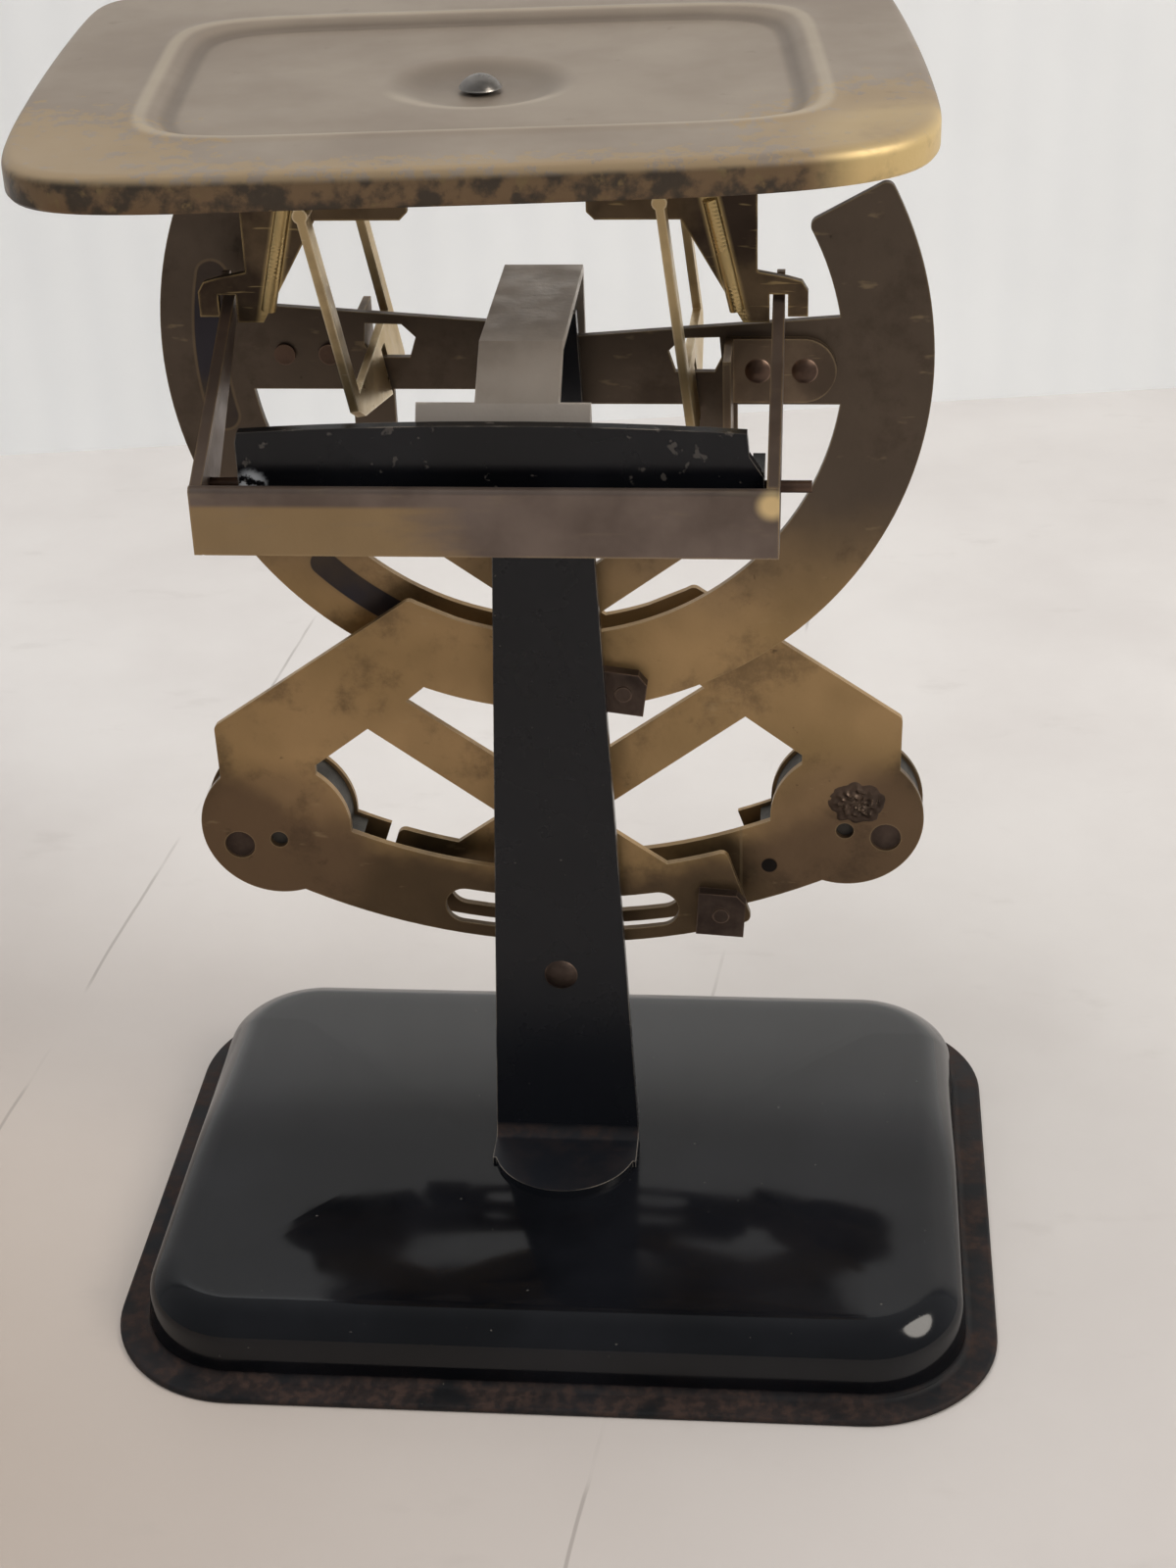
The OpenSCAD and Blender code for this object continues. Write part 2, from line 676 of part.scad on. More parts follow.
// A hanger that hangs from a pivot at x and leans so that its foot meets a load hole.
module hanger(x, foot_x) {
    rise = hanger_z - notch_z;
    lean = atan((foot_x - x) / rise);
    color(old_brass) translate([x, mid_y, hanger_z]) rotate([0, -lean, 0]) {
        bar_y(hanger_rod_r, -hanger_long, hanger_long + hanger_short);
        sideways(-hanger_t / 2, hanger_t) hanger_side(rise / cos(lean));
    }
}

module left_hanger() { hanger(hanger_shift - hanger_pivot, left_foot); }
module right_hanger() { far_side() hanger(-hanger_shift - hanger_pivot, -right_foot); }

// Outline in X and Z of the right half of a yoke flange with its leg.
module flange_half(with_leg) {
    top = web_top;
    polygon([[yoke_gap, top - yoke_t], [yoke_gap, yoke_low_z + 0.8], [yoke_gap + 0.8, yoke_low_z],
        [yoke_half, yoke_low_z], [yoke_half, top - yoke_t]]);
    if (with_leg) {
        notch_in = guide_half - guide_fold_w - free_gap;
        notch_out = guide_half + free_gap;
        polygon([[yoke_half - 8, yoke_low_z + cut], [yoke_half, yoke_low_z + cut],
            [yoke_half, leg_low_z + 5.2], [notch_out, leg_low_z + 4.6], [notch_out + 1.4, leg_low_z + 4.2],
            [notch_out + 2, leg_low_z + 3.2], [notch_out + 2, leg_low_z + 0.6], [notch_out, leg_low_z + 0.6],
            [notch_out, leg_low_z + 2.9], [notch_in, leg_low_z + 2.9], [notch_in, leg_low_z],
            [notch_in - 2.6, leg_low_z]]);
    }
}

module yoke() {
    gap = mid_y - yoke_span / 2 - yoke_t / 2;
    rib = 0.75;
    color(old_brass) translate([load_shift, 0, 0]) difference() {
        union() {
            translate([-yoke_half, gap, web_top - yoke_t]) cube([2 * yoke_half, yoke_span + yoke_t, yoke_t]);
            for (side = [-1, 1]) {
                upright(gap, yoke_t) scale([side, 1]) flange_half(true);
                upright(gap + yoke_span, yoke_t) scale([side, 1]) flange_half(false);
                translate([side * (yoke_half - 4.6), gap, yoke_low_z + 2]) rotate([0, side * 167, 0])
                    cylinder(h = yoke_low_z + 1 - leg_low_z, r = rib, $fn = blend_fn);
            }
        }
        for (side = [-1, 1]) bar_y(hanger_rod_r + run_gap, gap - cut, yoke_span + yoke_t + 2 * cut,
            hanger_shift - load_shift + side * hanger_pivot, hanger_z);
        translate([pan_shift, mid_y, web_top - yoke_t - cut])
            cylinder(h = yoke_t + 2 * cut, r = rivet_shank + seat_gap, $fn = round_fn);
    }
}

// Outline of the pan: four bowed sides and round corners, shrunk by an inset.
module pan_outline(w, d, r, inset) {
    half_w = w / 2 - inset;
    half_d = d / 2 - inset;
    bow_w = (half_d * half_d + pan_bow * pan_bow) / 2 / pan_bow;
    bow_d = (half_w * half_w + pan_bow * pan_bow) / 2 / pan_bow;
    corner = max(r - inset, 1);
    intersection() {
        intersection() {
            translate([half_w - bow_w, 0]) circle(r = bow_w, $fn = 12 * round_fn);
            translate([bow_w - half_w, 0]) circle(r = bow_w, $fn = 12 * round_fn);
            translate([0, half_d - bow_d]) circle(r = bow_d, $fn = 12 * round_fn);
            translate([0, bow_d - half_d]) circle(r = bow_d, $fn = 12 * round_fn);
        }
        round_rect(2 * half_w, 2 * half_d, corner);
    }
}

module pan() {
    color(old_brass) translate([load_shift + pan_shift, mid_y, 0]) difference() {
        union() {
            rotate([0, 0, pan_turn]) translate([0, pan_off_y, 0]) difference() {
                translate([0, 0, pan_z - pan_rim]) linear_extrude(pan_rim)
                    pan_outline(pan_w, pan_d, pan_corner, 0);
                translate([0, 0, pan_z - pan_rim - cut]) linear_extrude(pan_rim + cut - pan_t)
                    pan_outline(pan_w, pan_d, pan_corner, pan_t);
                translate([0, 0, pan_z - recess_sink]) linear_extrude(recess_sink + cut)
                    pan_outline(recess_w, recess_d, pan_corner / 2, 0);
            }
            rotate([0, 0, pan_turn]) translate([0, pan_off_y, pan_z - pan_t - recess_sink])
                linear_extrude(pan_t) pan_outline(recess_w, recess_d, pan_corner / 2, -1);
            translate([0, 0, web_top]) cylinder(h = dimple_sink, r1 = dimple_r * 0.4, r2 = dimple_r, $fn = round_fn);
        }
        translate([0, 0, web_top + pan_t])
            cylinder(h = dimple_sink - recess_sink + 0.01, r1 = dimple_r * 0.3, r2 = dimple_r * 0.9, $fn = round_fn);
        translate([0, 0, web_top - cut]) cylinder(h = pan_t + 2 * cut, r = rivet_shank + seat_gap, $fn = round_fn);
    }
}

module pan_rivet() {
    head_r = 2.15;
    head_h = 1.3;
    ball = (head_r * head_r + head_h * head_h) / 2 / head_h;
    color(grey_steel) translate([load_shift + pan_shift, mid_y, 0]) {
        intersection() {
            translate([0, 0, web_top + pan_t + head_h - ball]) sphere(r = ball, $fn = round_fn);
            translate([0, 0, web_top + pan_t]) cylinder(h = head_h + cut, r = head_r + cut, $fn = round_fn);
        }
        translate([0, 0, web_top - yoke_t]) cylinder(h = yoke_t + pan_t, r = rivet_shank, $fn = round_fn);
        translate([0, 0, web_top - yoke_t - 0.7]) cylinder(h = 0.7, r = head_r, $fn = round_fn);
    }
}

placed() base_shell();
placed() column();
placed() index_rivet();
placed() lower_index();
placed() bridge();
placed() crosspiece();
placed() guide_pin();
placed() fulcrum_pin();
placed() fulcrum_nut();
placed() guide_frame();
placed() near_plate();
placed() near_bush();
placed() near_weight();
placed() near_cover();
placed() near_rivet();
placed() near_bracket();
placed() near_bracket_rivets();
placed() near_nuts();
placed() near_bolts();
placed() far_side() near_plate();  // far_plate
placed() far_side() near_bush();  // far_bush
placed() far_lobe() near_weight();  // far_weight
placed() far_lobe() near_cover();  // far_cover
placed() far_lobe() near_rivet();  // far_rivet
placed() far_side() near_bracket();  // far_bracket
placed() far_side() near_bracket_rivets();  // far_bracket_rivets
placed() far_side() near_nuts();  // far_nuts
placed() far_side() near_bolts();  // far_bolts
placed() left_hanger();
placed() right_hanger();
placed() yoke();
placed() pan();
placed() pan_rivet();
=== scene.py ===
"""Looks of the two-sector postal scale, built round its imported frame.

Lengths are in metres and every piece is made in the frame's own coordinates: +X right and +Z up
as seen from the scale's back, which faces -Y.
"""

from __future__ import annotations

import logging
import math
from dataclasses import dataclass, field
from enum import Enum

import bmesh
import bpy
from mathutils import Matrix, Vector
from mathutils import noise as turbulence


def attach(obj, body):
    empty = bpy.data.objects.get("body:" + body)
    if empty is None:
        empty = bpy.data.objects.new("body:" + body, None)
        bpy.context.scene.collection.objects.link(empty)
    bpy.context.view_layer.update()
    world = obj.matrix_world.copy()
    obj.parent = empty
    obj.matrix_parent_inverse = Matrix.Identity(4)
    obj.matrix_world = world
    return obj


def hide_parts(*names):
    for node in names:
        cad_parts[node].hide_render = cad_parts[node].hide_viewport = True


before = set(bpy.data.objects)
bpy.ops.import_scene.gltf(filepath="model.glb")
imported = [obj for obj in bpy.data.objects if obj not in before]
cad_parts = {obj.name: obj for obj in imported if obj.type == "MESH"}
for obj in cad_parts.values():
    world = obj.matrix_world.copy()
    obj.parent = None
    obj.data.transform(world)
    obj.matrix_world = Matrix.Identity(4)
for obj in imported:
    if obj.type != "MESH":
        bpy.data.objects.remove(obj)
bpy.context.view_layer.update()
LOG = logging.getLogger("postal_scale")

Tree = bpy.types.NodeTree
Socket = bpy.types.NodeSocket
Value = float | Socket
Feeds = dict[str, object]
Pair = tuple[float, float]
Point = tuple[float, float, float]
Face = tuple[int, ...]
Piece = bpy.types.Object

# Places and sizes that several pieces share, as in the part's source.
FULCRUM = (0.0, 0.1056)
BASE_Y = -0.00215
NEAR_BACK = BASE_Y + 0.0022
FAR_BACK = BASE_Y + 0.0062
MID_Y = BASE_Y + 0.0046
SHEET = 0.0008

# The pan's shape, which its finish follows. The recess holds its middle and its half sizes.
PAN_TURN = 5.0
PAN_MIDDLE = (-0.0053, MID_Y + 0.00305)
PAN_HALF = (0.0437, 0.03475)
PAN_RECESS = (0.00085, -0.00135, 0.0306, 0.0208)
PAN_PIN = (-0.0050, MID_Y)


class Body(Enum):
    """Names of the bodies that the pieces made here ride on."""

    STAND = "stand"
    NEAR = "near_sector"
    FAR = "far_sector"
    LOAD = "load"


class Kind(Enum):
    """The kinds of node in use: type, output to hand back if it isn't the first in use, and settings."""

    # Sums on one value or two.
    ADD = "ShaderNodeMath", None, {"operation": "ADD"}
    LESS = "ShaderNodeMath", None, {"operation": "SUBTRACT"}
    TIMES = "ShaderNodeMath", None, {"operation": "MULTIPLY"}
    PARTS = "ShaderNodeMath", None, {"operation": "DIVIDE"}
    POWER = "ShaderNodeMath", None, {"operation": "POWER"}
    ROOT = "ShaderNodeMath", None, {"operation": "SQRT"}
    LEAST = "ShaderNodeMath", None, {"operation": "MINIMUM"}
    MOST = "ShaderNodeMath", None, {"operation": "MAXIMUM"}
    SIZE = "ShaderNodeMath", None, {"operation": "ABSOLUTE"}
    FRACTION = "ShaderNodeMath", None, {"operation": "FRACT"}
    SINE = "ShaderNodeMath", None, {"operation": "SINE"}
    COSINE = "ShaderNodeMath", None, {"operation": "COSINE"}
    ANGLE = "ShaderNodeMath", None, {"operation": "ARCTAN2"}
    # A soft step from a low limit to a high one.
    RISE = "ShaderNodeMapRange", None, {"interpolation_type": "SMOOTHSTEP"}
    # Sums on points and directions.
    FROM_POINT = "ShaderNodeVectorMath", None, {"operation": "SUBTRACT"}
    SCALED = "ShaderNodeVectorMath", None, {"operation": "MULTIPLY"}
    DISTANCE = "ShaderNodeVectorMath", None, {"operation": "DISTANCE"}
    LIKENESS = "ShaderNodeVectorMath", None, {"operation": "DOT_PRODUCT"}
    SPLIT = "ShaderNodeSeparateXYZ"
    JOIN = "ShaderNodeCombineXYZ"
    TURNED = "ShaderNodeMapping"
    PLACE = "ShaderNodeTexCoord", "Object"
    # Patterns, colours and relief.
    NOISE = "ShaderNodeTexNoise"
    WAVE = "ShaderNodeTexWave", "Fac"
    GROOVES = "ShaderNodeTexWave", "Fac", {"bands_direction": "Z"}
    ROUNDED = "ShaderNodeBevel", None, {"samples": 4}
    SURFACE = "ShaderNodeNewGeometry"
    RAY = "ShaderNodeLightPath"
    MIX = "ShaderNodeMix", None, {"data_type": "RGBA"}
    BUMP = "ShaderNodeBump"
    PAINT = "ShaderNodeBsdfPrincipled"
    MATERIAL = "ShaderNodeOutputMaterial"
    SKY = "ShaderNodeBackground"
    WORLD = "ShaderNodeOutputWorld"
    # The rows of ticks.
    NUMBER = "GeometryNodeInputIndex"
    DOTS = "GeometryNodePoints"
    TICK = "GeometryNodeMeshCube"
    COPIES = "GeometryNodeInstanceOnPoints"
    REAL = "GeometryNodeRealizeInstances"
    PAINTED = "GeometryNodeSetMaterial"
    GROUP_END = "NodeGroupOutput"

    def __init__(self, node: str, out: str | None = None, settings: Feeds | None = None) -> None:
        """Keeps the node's type, the output to hand back, None for the first in use, and settings."""
        self.node, self.out, self.settings = node, out, settings or {}


def linear(code: str) -> tuple[float, float, float, float]:
    """Turns an sRGB hex colour into linear values.

    Args:
        code: Six hex digits after a hash mark.

    Returns:
        Red, green, blue and alpha, linear.
    """
    parts = [int(code[i : i + 2], 16) / 255.0 for i in (1, 3, 5)]
    done = [c / 12.92 if c <= 0.04045 else ((c + 0.055) / 1.055) ** 2.4 for c in parts]
    return done[0], done[1], done[2], 1.0


def soft_step(t: float) -> float:
    """A soft step: 0 for 0 or less, 1 for 1 or more."""
    t = min(1.0, max(0.0, t))
    return t * t * (3 - 2 * t)


def bands(count: int, around: int, closed: bool) -> list[Face]:
    """Quads between rings of vertices.

    Args:
        count: How many rings there are.
        around: Vertices in a ring.
        closed: True if the last ring joins the first one.

    Returns:
        Faces as vertex indices.
    """
    total = count * around
    faces = []
    for k in range(count if closed else count - 1):
        for i in range(around):
            here, there, after = k * around, (k + 1) * around, (i + 1) % around
            faces.append((here + i, here + after, (there + after) % total, (there + i) % total))
    return faces


class Graph:
    """A node tree that is filled by one function, with the patterns that several finishes share."""

    def __init__(self, tree: Tree) -> None:
        """Keeps the tree."""
        self.tree = tree

    def add(self, kind: Kind, *values: object, out: str | None = None, **named: object) -> Socket:
        """Adds one node with its settings and links what feeds it.

        Args:
            kind: What the node does.
            *values: A value or a socket for each input in use, in their order.
            out: The output to hand back, if it isn't the kind's own.
            **named: Values or sockets by the input's name.

        Returns:
            The output's socket, or the node itself if it has no output.
        """
        node = self.tree.nodes.new(kind.node)
        for name, value in kind.settings.items():
            setattr(node, name, value)
        inputs = [socket for socket in node.inputs if socket.enabled]
        feeds = list(zip(inputs, values)) + [(node.inputs[name], value) for name, value in named.items()]
        for socket, value in feeds:
            if isinstance(value, bpy.types.NodeSocket):
                self.tree.links.new(value, socket)
            else:
                socket.default_value = value
        if out or kind.out:
            return node.outputs[out or kind.out]
        return next((socket for socket in node.outputs if socket.enabled), node)

    def axis(self, name: str) -> Socket:
        """One object coordinate: X, Y or Z."""
        return self.add(Kind.SPLIT, self.add(Kind.PLACE), out=name)

    def beyond(self, name: str, low: float, high: float) -> Socket:
        """Marks what lies past a place on one axis, from 0 at low to 1 at high, on either side."""
        return self.add(Kind.RISE, self.axis(name), low, high)

    def grain(
        self, size: float, detail: float = 3.0, stretch: Point = (1, 1, 1), rough: float = 0.55,
    ) -> Socket:
        """Noise of a real feature size in object space, from 0 to 1."""
        place = self.add(Kind.SCALED, self.add(Kind.PLACE), stretch)
        return self.add(Kind.NOISE, place, 1.0 / size, detail, rough)

    def patches(
        self, size: float, detail: float, low: float, high: float, least: float = 0.0, most: float = 1.0,
        stretch: Point = (1, 1, 1), rough: float = 0.55,
    ) -> Socket:
        """Soft patches of a real size: least where the noise is low, most where it is high."""
        return self.add(Kind.RISE, self.grain(size, detail, stretch, rough), low, high, least, most)

    def tint(self, colour: Socket, mask: Value, code: str, share: float = 1.0) -> Socket:
        """Lays a hex colour over another one where a mask is high, up to a share."""
        factor = mask if share == 1.0 else self.add(Kind.TIMES, mask, share)
        return self.add(Kind.MIX, factor, colour, linear(code))

    def disc(self, flat: Point, middle: Point, radius: float, soft: float) -> Socket:
        """A round mask about a point, gone at the radius; flat is 0 for an axis that doesn't count."""
        place = self.add(Kind.SCALED, self.add(Kind.PLACE), flat)
        return self.add(Kind.RISE, self.add(Kind.DISTANCE, place, middle), radius, radius - soft)

    def spot(self, x: float, z: float, radius: float, soft: float) -> Socket:
        """A round mask about x and z that runs through along Y."""
        return self.disc((1, 0, 1), (x, 0.0, z), radius, soft)

    def arc_slot(self, radius: float, half: float, start: float, end: float, soft: float = 0.00008) -> Socket:
        """Marks a round-ended slot on the left that runs along an arc about the fulcrum.

        Args:
            radius: Radius of the slot's middle line.
            half: Half its width.
            start: First angle above the horizontal, in degrees.
            end: Last angle.
            soft: Half the width of its edge.

        Returns:
            A socket that is 1 in the slot.
        """
        place = self.add(Kind.FROM_POINT, self.add(Kind.PLACE), (FULCRUM[0], 0, FULCRUM[1]))
        place = self.add(Kind.SCALED, place, (-1, 0, 1))
        x, z = self.add(Kind.SPLIT, place, out="X"), self.add(Kind.SPLIT, place, out="Z")
        turn = self.add(Kind.ANGLE, z, x)
        turn = self.add(Kind.LEAST, self.add(Kind.MOST, turn, math.radians(start)), math.radians(end))
        near_x = self.add(Kind.TIMES, self.add(Kind.COSINE, turn), radius)
        near_z = self.add(Kind.TIMES, self.add(Kind.SINE, turn), radius)
        away = self.add(Kind.DISTANCE, place, self.add(Kind.JOIN, near_x, 0.0, near_z))
        return self.add(Kind.RISE, away, half + soft, half - soft)

    def edges(self, radius: float = 0.0004) -> Socket:
        """Marks sharp edges by how far the rounded normal leaves the flat one.

        Args:
            radius: Width of the edge.

        Returns:
            A socket that is 1 on edges.
        """
        rounded = self.add(Kind.ROUNDED, Radius=radius)
        same = self.add(Kind.LIKENESS, rounded, self.add(Kind.SURFACE, out="Normal"))
        return self.add(Kind.RISE, same, 0.97, 0.75)

    def rubbed(
        self, size: float, low: float, high: float, least: float, most: float, radius: float = 0.0004,
    ) -> Socket:
        """Marks edges of a radius, worn from least to most along stretches of a size."""
        return self.add(Kind.TIMES, self.edges(radius), self.patches(size, 3.0, low, high, least, most))


@dataclass(frozen=True)
class Finish:
    """A surface finish: what its material is named and how it looks."""

    name: str

    def shade(self, g: Graph) -> Feeds:
        """Input names of the principled shader to values or sockets."""
        raise NotImplementedError

    def material(self) -> bpy.types.Material:
        """Builds the material.

        Returns:
            The new material.
        """
        made = bpy.data.materials.new(self.name)
        made.use_nodes = True
        made.node_tree.nodes.clear()
        g = Graph(made.node_tree)
        g.add(Kind.MATERIAL, Surface=g.add(Kind.PAINT, **self.shade(g)))
        return made


@dataclass(frozen=True)
class Enamel(Finish):
    """Black enamel stoved on sheet steel.

    The eye sees a wet-looking gloss with soft smears, dust in specks, and rust where it has worn thin.
    """

    rust_low: float = 0.0
    rust_high: float = 0.0006
    rust_all: float = 0.5
    bare: bool = False
    gloss: Pair = (0.07, 0.15)
    black: str = "#0a0b0e"
    smear: str = "#15161a"
    dust: str = "#7c786f"
    rust: str = "#3f302a"
    chip: str = "#b9bcc0"
    chip_place: Pair = (-0.0258, 0.1017)
    fleck: str = "#66605a"
    edge: str = "#a79d90"
    specular: float = 0.33
    dome: float = 0.0
    dome_y: float = BASE_Y + 0.004
    dome_soft: float = 0.00004

    def shade(self, g: Graph) -> Feeds:
        """Black paint, dulled by dust and rusty where it is low.

        Args:
            g: The material's nodes.

        Returns:
            Shader inputs.
        """
        specks = g.patches(0.0007, 1.0, 0.79, 0.84)
        haze = g.patches(0.02, 4.0, 0.35, 0.72)
        colour = g.add(Kind.MIX, haze, linear(self.black), linear(self.smear))
        colour = g.tint(colour, specks, self.dust, 0.45)
        fine = g.patches(0.0011, 4.0, 0.40, 0.64, 0.35, 1.0)
        worn = g.add(Kind.TIMES, g.patches(0.0045, 6.0, 0.34, 0.60), fine)
        below = g.beyond("Z", self.rust_high + 0.0004, self.rust_high - 0.0003)
        low = g.add(Kind.TIMES, below, g.beyond("Z", self.rust_low - 0.0002, self.rust_low + 0.0001))
        rust = g.add(Kind.TIMES, g.add(Kind.TIMES, low, worn), self.rust_all)
        colour = g.tint(colour, rust, self.rust)
        shine = g.patches(0.014, 5.0, 0.35, 0.8, *self.gloss)
        rough = g.add(Kind.ADD, shine, g.add(Kind.TIMES, low, 0.55))
        rough = g.add(Kind.ADD, rough, g.add(Kind.TIMES, rust, 0.3))
        if self.bare:
            chip = g.spot(*self.chip_place, 0.0019, 0.0011)
            chip = g.add(Kind.TIMES, chip, g.patches(0.0009, 4.0, 0.42, 0.55))
            colour = g.tint(colour, chip, self.chip)
            colour = g.tint(colour, g.patches(0.0016, 3.0, 0.66, 0.71), self.fleck, 0.5)
        if not self.dome:
            colour = g.tint(colour, g.rubbed(0.005, 0.4, 0.6, 0.15, 0.9, 0.0002), self.edge)
        relief = g.add(Kind.ADD, g.grain(0.022, 2.0), g.add(Kind.TIMES, specks, 0.1))
        relief = g.add(Kind.ADD, relief, g.add(Kind.TIMES, rust, g.grain(0.0008, 3.0)))
        normal = g.add(Kind.BUMP, Strength=0.1, Distance=0.0006, Height=relief)
        if self.dome:
            # A broad ridge along X, which moves mirrored shapes as a more domed top would. The square root of
            # dome_soft is how far its round top reaches, about 6 mm.
            off = g.add(Kind.LESS, g.axis("Y"), self.dome_y)
            ridge = g.add(Kind.ROOT, g.add(Kind.ADD, g.add(Kind.TIMES, off, off), self.dome_soft))
            ridge = g.add(Kind.TIMES, ridge, -self.dome)
            normal = g.add(Kind.BUMP, Strength=1.0, Distance=1.0, Height=ridge, Normal=normal)
        feeds = {"Base Color": colour, "Roughness": rough, "Normal": normal}
        return feeds | {"Specular IOR Level": self.specular}


@dataclass(frozen=True)
class Steel(Finish):
    """Worn steel, or another plain metal of small parts.

    The eye sees a dull metal with soft stains a few millimetres wide and edges that are rubbed brighter.
    """

    base: str
    dark: str
    bright: str
    rough: float = 0.42
    metal: float = 0.8
    darken_below: float = 0.0
    lower_tone: str = "#5d554e"

    def shade(self, g: Graph) -> Feeds:
        """Stained metal, darker towards the bottom below a set height, where one is given.

        Args:
            g: The material's nodes.

        Returns:
            Shader inputs.
        """
        stains = g.patches(0.006, 5.0, 0.35, 0.68)
        colour = g.add(Kind.MIX, stains, linear(self.base), linear(self.dark))
        if self.darken_below:
            # Darker towards the bottom: full below the set height, fading out over 6 mm above it.
            height = g.add(Kind.ADD, g.axis("Z"), g.add(Kind.TIMES, stains, 0.001))
            foot = g.add(Kind.RISE, height, self.darken_below + 0.006, self.darken_below)
            colour = g.tint(colour, foot, self.lower_tone, 0.6)
        colour = g.tint(colour, g.rubbed(0.003, 0.35, 0.6, 0.0, 1.0, 0.0003), self.bright)
        normal = g.add(Kind.BUMP, Strength=0.2, Distance=0.0002, Height=g.grain(0.0007, 2.0))
        rough = g.patches(0.004, 3.0, 0.3, 0.7, self.rough - 0.08, self.rough + 0.12)
        return {"Base Color": colour, "Metallic": self.metal, "Roughness": rough, "Normal": normal}


@dataclass(frozen=True)
class OldBrass(Finish):
    """Stamped brass under brown patina.

    The eye sees soft dark patches, fine long scratches and edges rubbed back to yellow metal; on the
    hangers the nearly white edges are partly a painted highlight.
    """

    base: str
    dark: str
    bright: str
    dark_share: float
    edge_wear_and_sheen: float = 0.8
    rough: float = 0.4
    metal: float = 0.85
    ribs: bool = False
    rib_highlight: str = "#d3b880"
    rib_middle_x: float = -0.0032
    rib_half_gap: float = 0.0209
    rib_top: float = 0.1238
    rib_lean: float = 0.231

    def leg_ribs(self, g: Graph) -> Socket:
        """Marks the two leaning ribs on the yoke's legs, on their side that faces back.

        Args:
            g: The material's nodes.

        Returns:
            A socket that is 1 on the ribs.
        """
        side = g.add(Kind.SIZE, g.add(Kind.ADD, g.axis("X"), -self.rib_middle_x))
        slope = g.add(Kind.TIMES, g.add(Kind.LESS, self.rib_top, g.axis("Z")), self.rib_lean)
        off = g.add(Kind.SIZE, g.add(Kind.LESS, g.add(Kind.LESS, side, self.rib_half_gap), slope))
        return g.add(Kind.TIMES, g.add(Kind.RISE, off, 0.0013, 0.0005), g.beyond("Y", MID_Y, MID_Y - 0.002))

    def shade(self, g: Graph) -> Feeds:
        """Patina with soft patches, fine scratches and bright edges.

        Args:
            g: The material's nodes.

        Returns:
            Shader inputs.
        """
        low = 0.72 - 0.4 * self.dark_share
        patch = g.patches(0.012, 5.0, low - 0.08, low + 0.14)
        colour = g.add(Kind.MIX, patch, linear(self.base), linear(self.dark))
        scratch = g.patches(0.0006, 2.0, 0.66, 0.74, stretch=(0.12, 1.0, 1.0))
        colour = g.tint(colour, scratch, self.bright, 0.35)
        # Bright edges: worn metal, and on the hangers partly a painted highlight.
        worn = g.add(Kind.TIMES, g.rubbed(0.004, 0.3, 0.6, 0.2, 1.0), self.edge_wear_and_sheen)
        colour = g.tint(colour, worn, self.bright)
        pits = g.grain(0.0012, 4.0)
        rough = g.patches(0.005, 4.0, 0.3, 0.7, self.rough - 0.07, self.rough + 0.14)
        if self.ribs:
            bar = self.leg_ribs(g)
            # A painted highlight along the ribs' rounded tops.
            colour = g.tint(colour, bar, self.rib_highlight, 0.8)
            rough = g.add(Kind.LESS, rough, g.add(Kind.TIMES, bar, 0.12))
            # Grooves about 0.4 mm apart: a wave's bands lie 0.314 / scale apart.
            grooves = g.add(Kind.GROOVES, g.add(Kind.PLACE), Scale=800.0, Distortion=2.0)
            pits = g.add(Kind.ADD, pits, g.add(Kind.TIMES, g.add(Kind.TIMES, bar, grooves), 0.12))
        normal = g.add(Kind.BUMP, Strength=0.18, Distance=0.0003, Height=pits)
        return {"Base Color": colour, "Metallic": self.metal, "Roughness": rough, "Normal": normal}


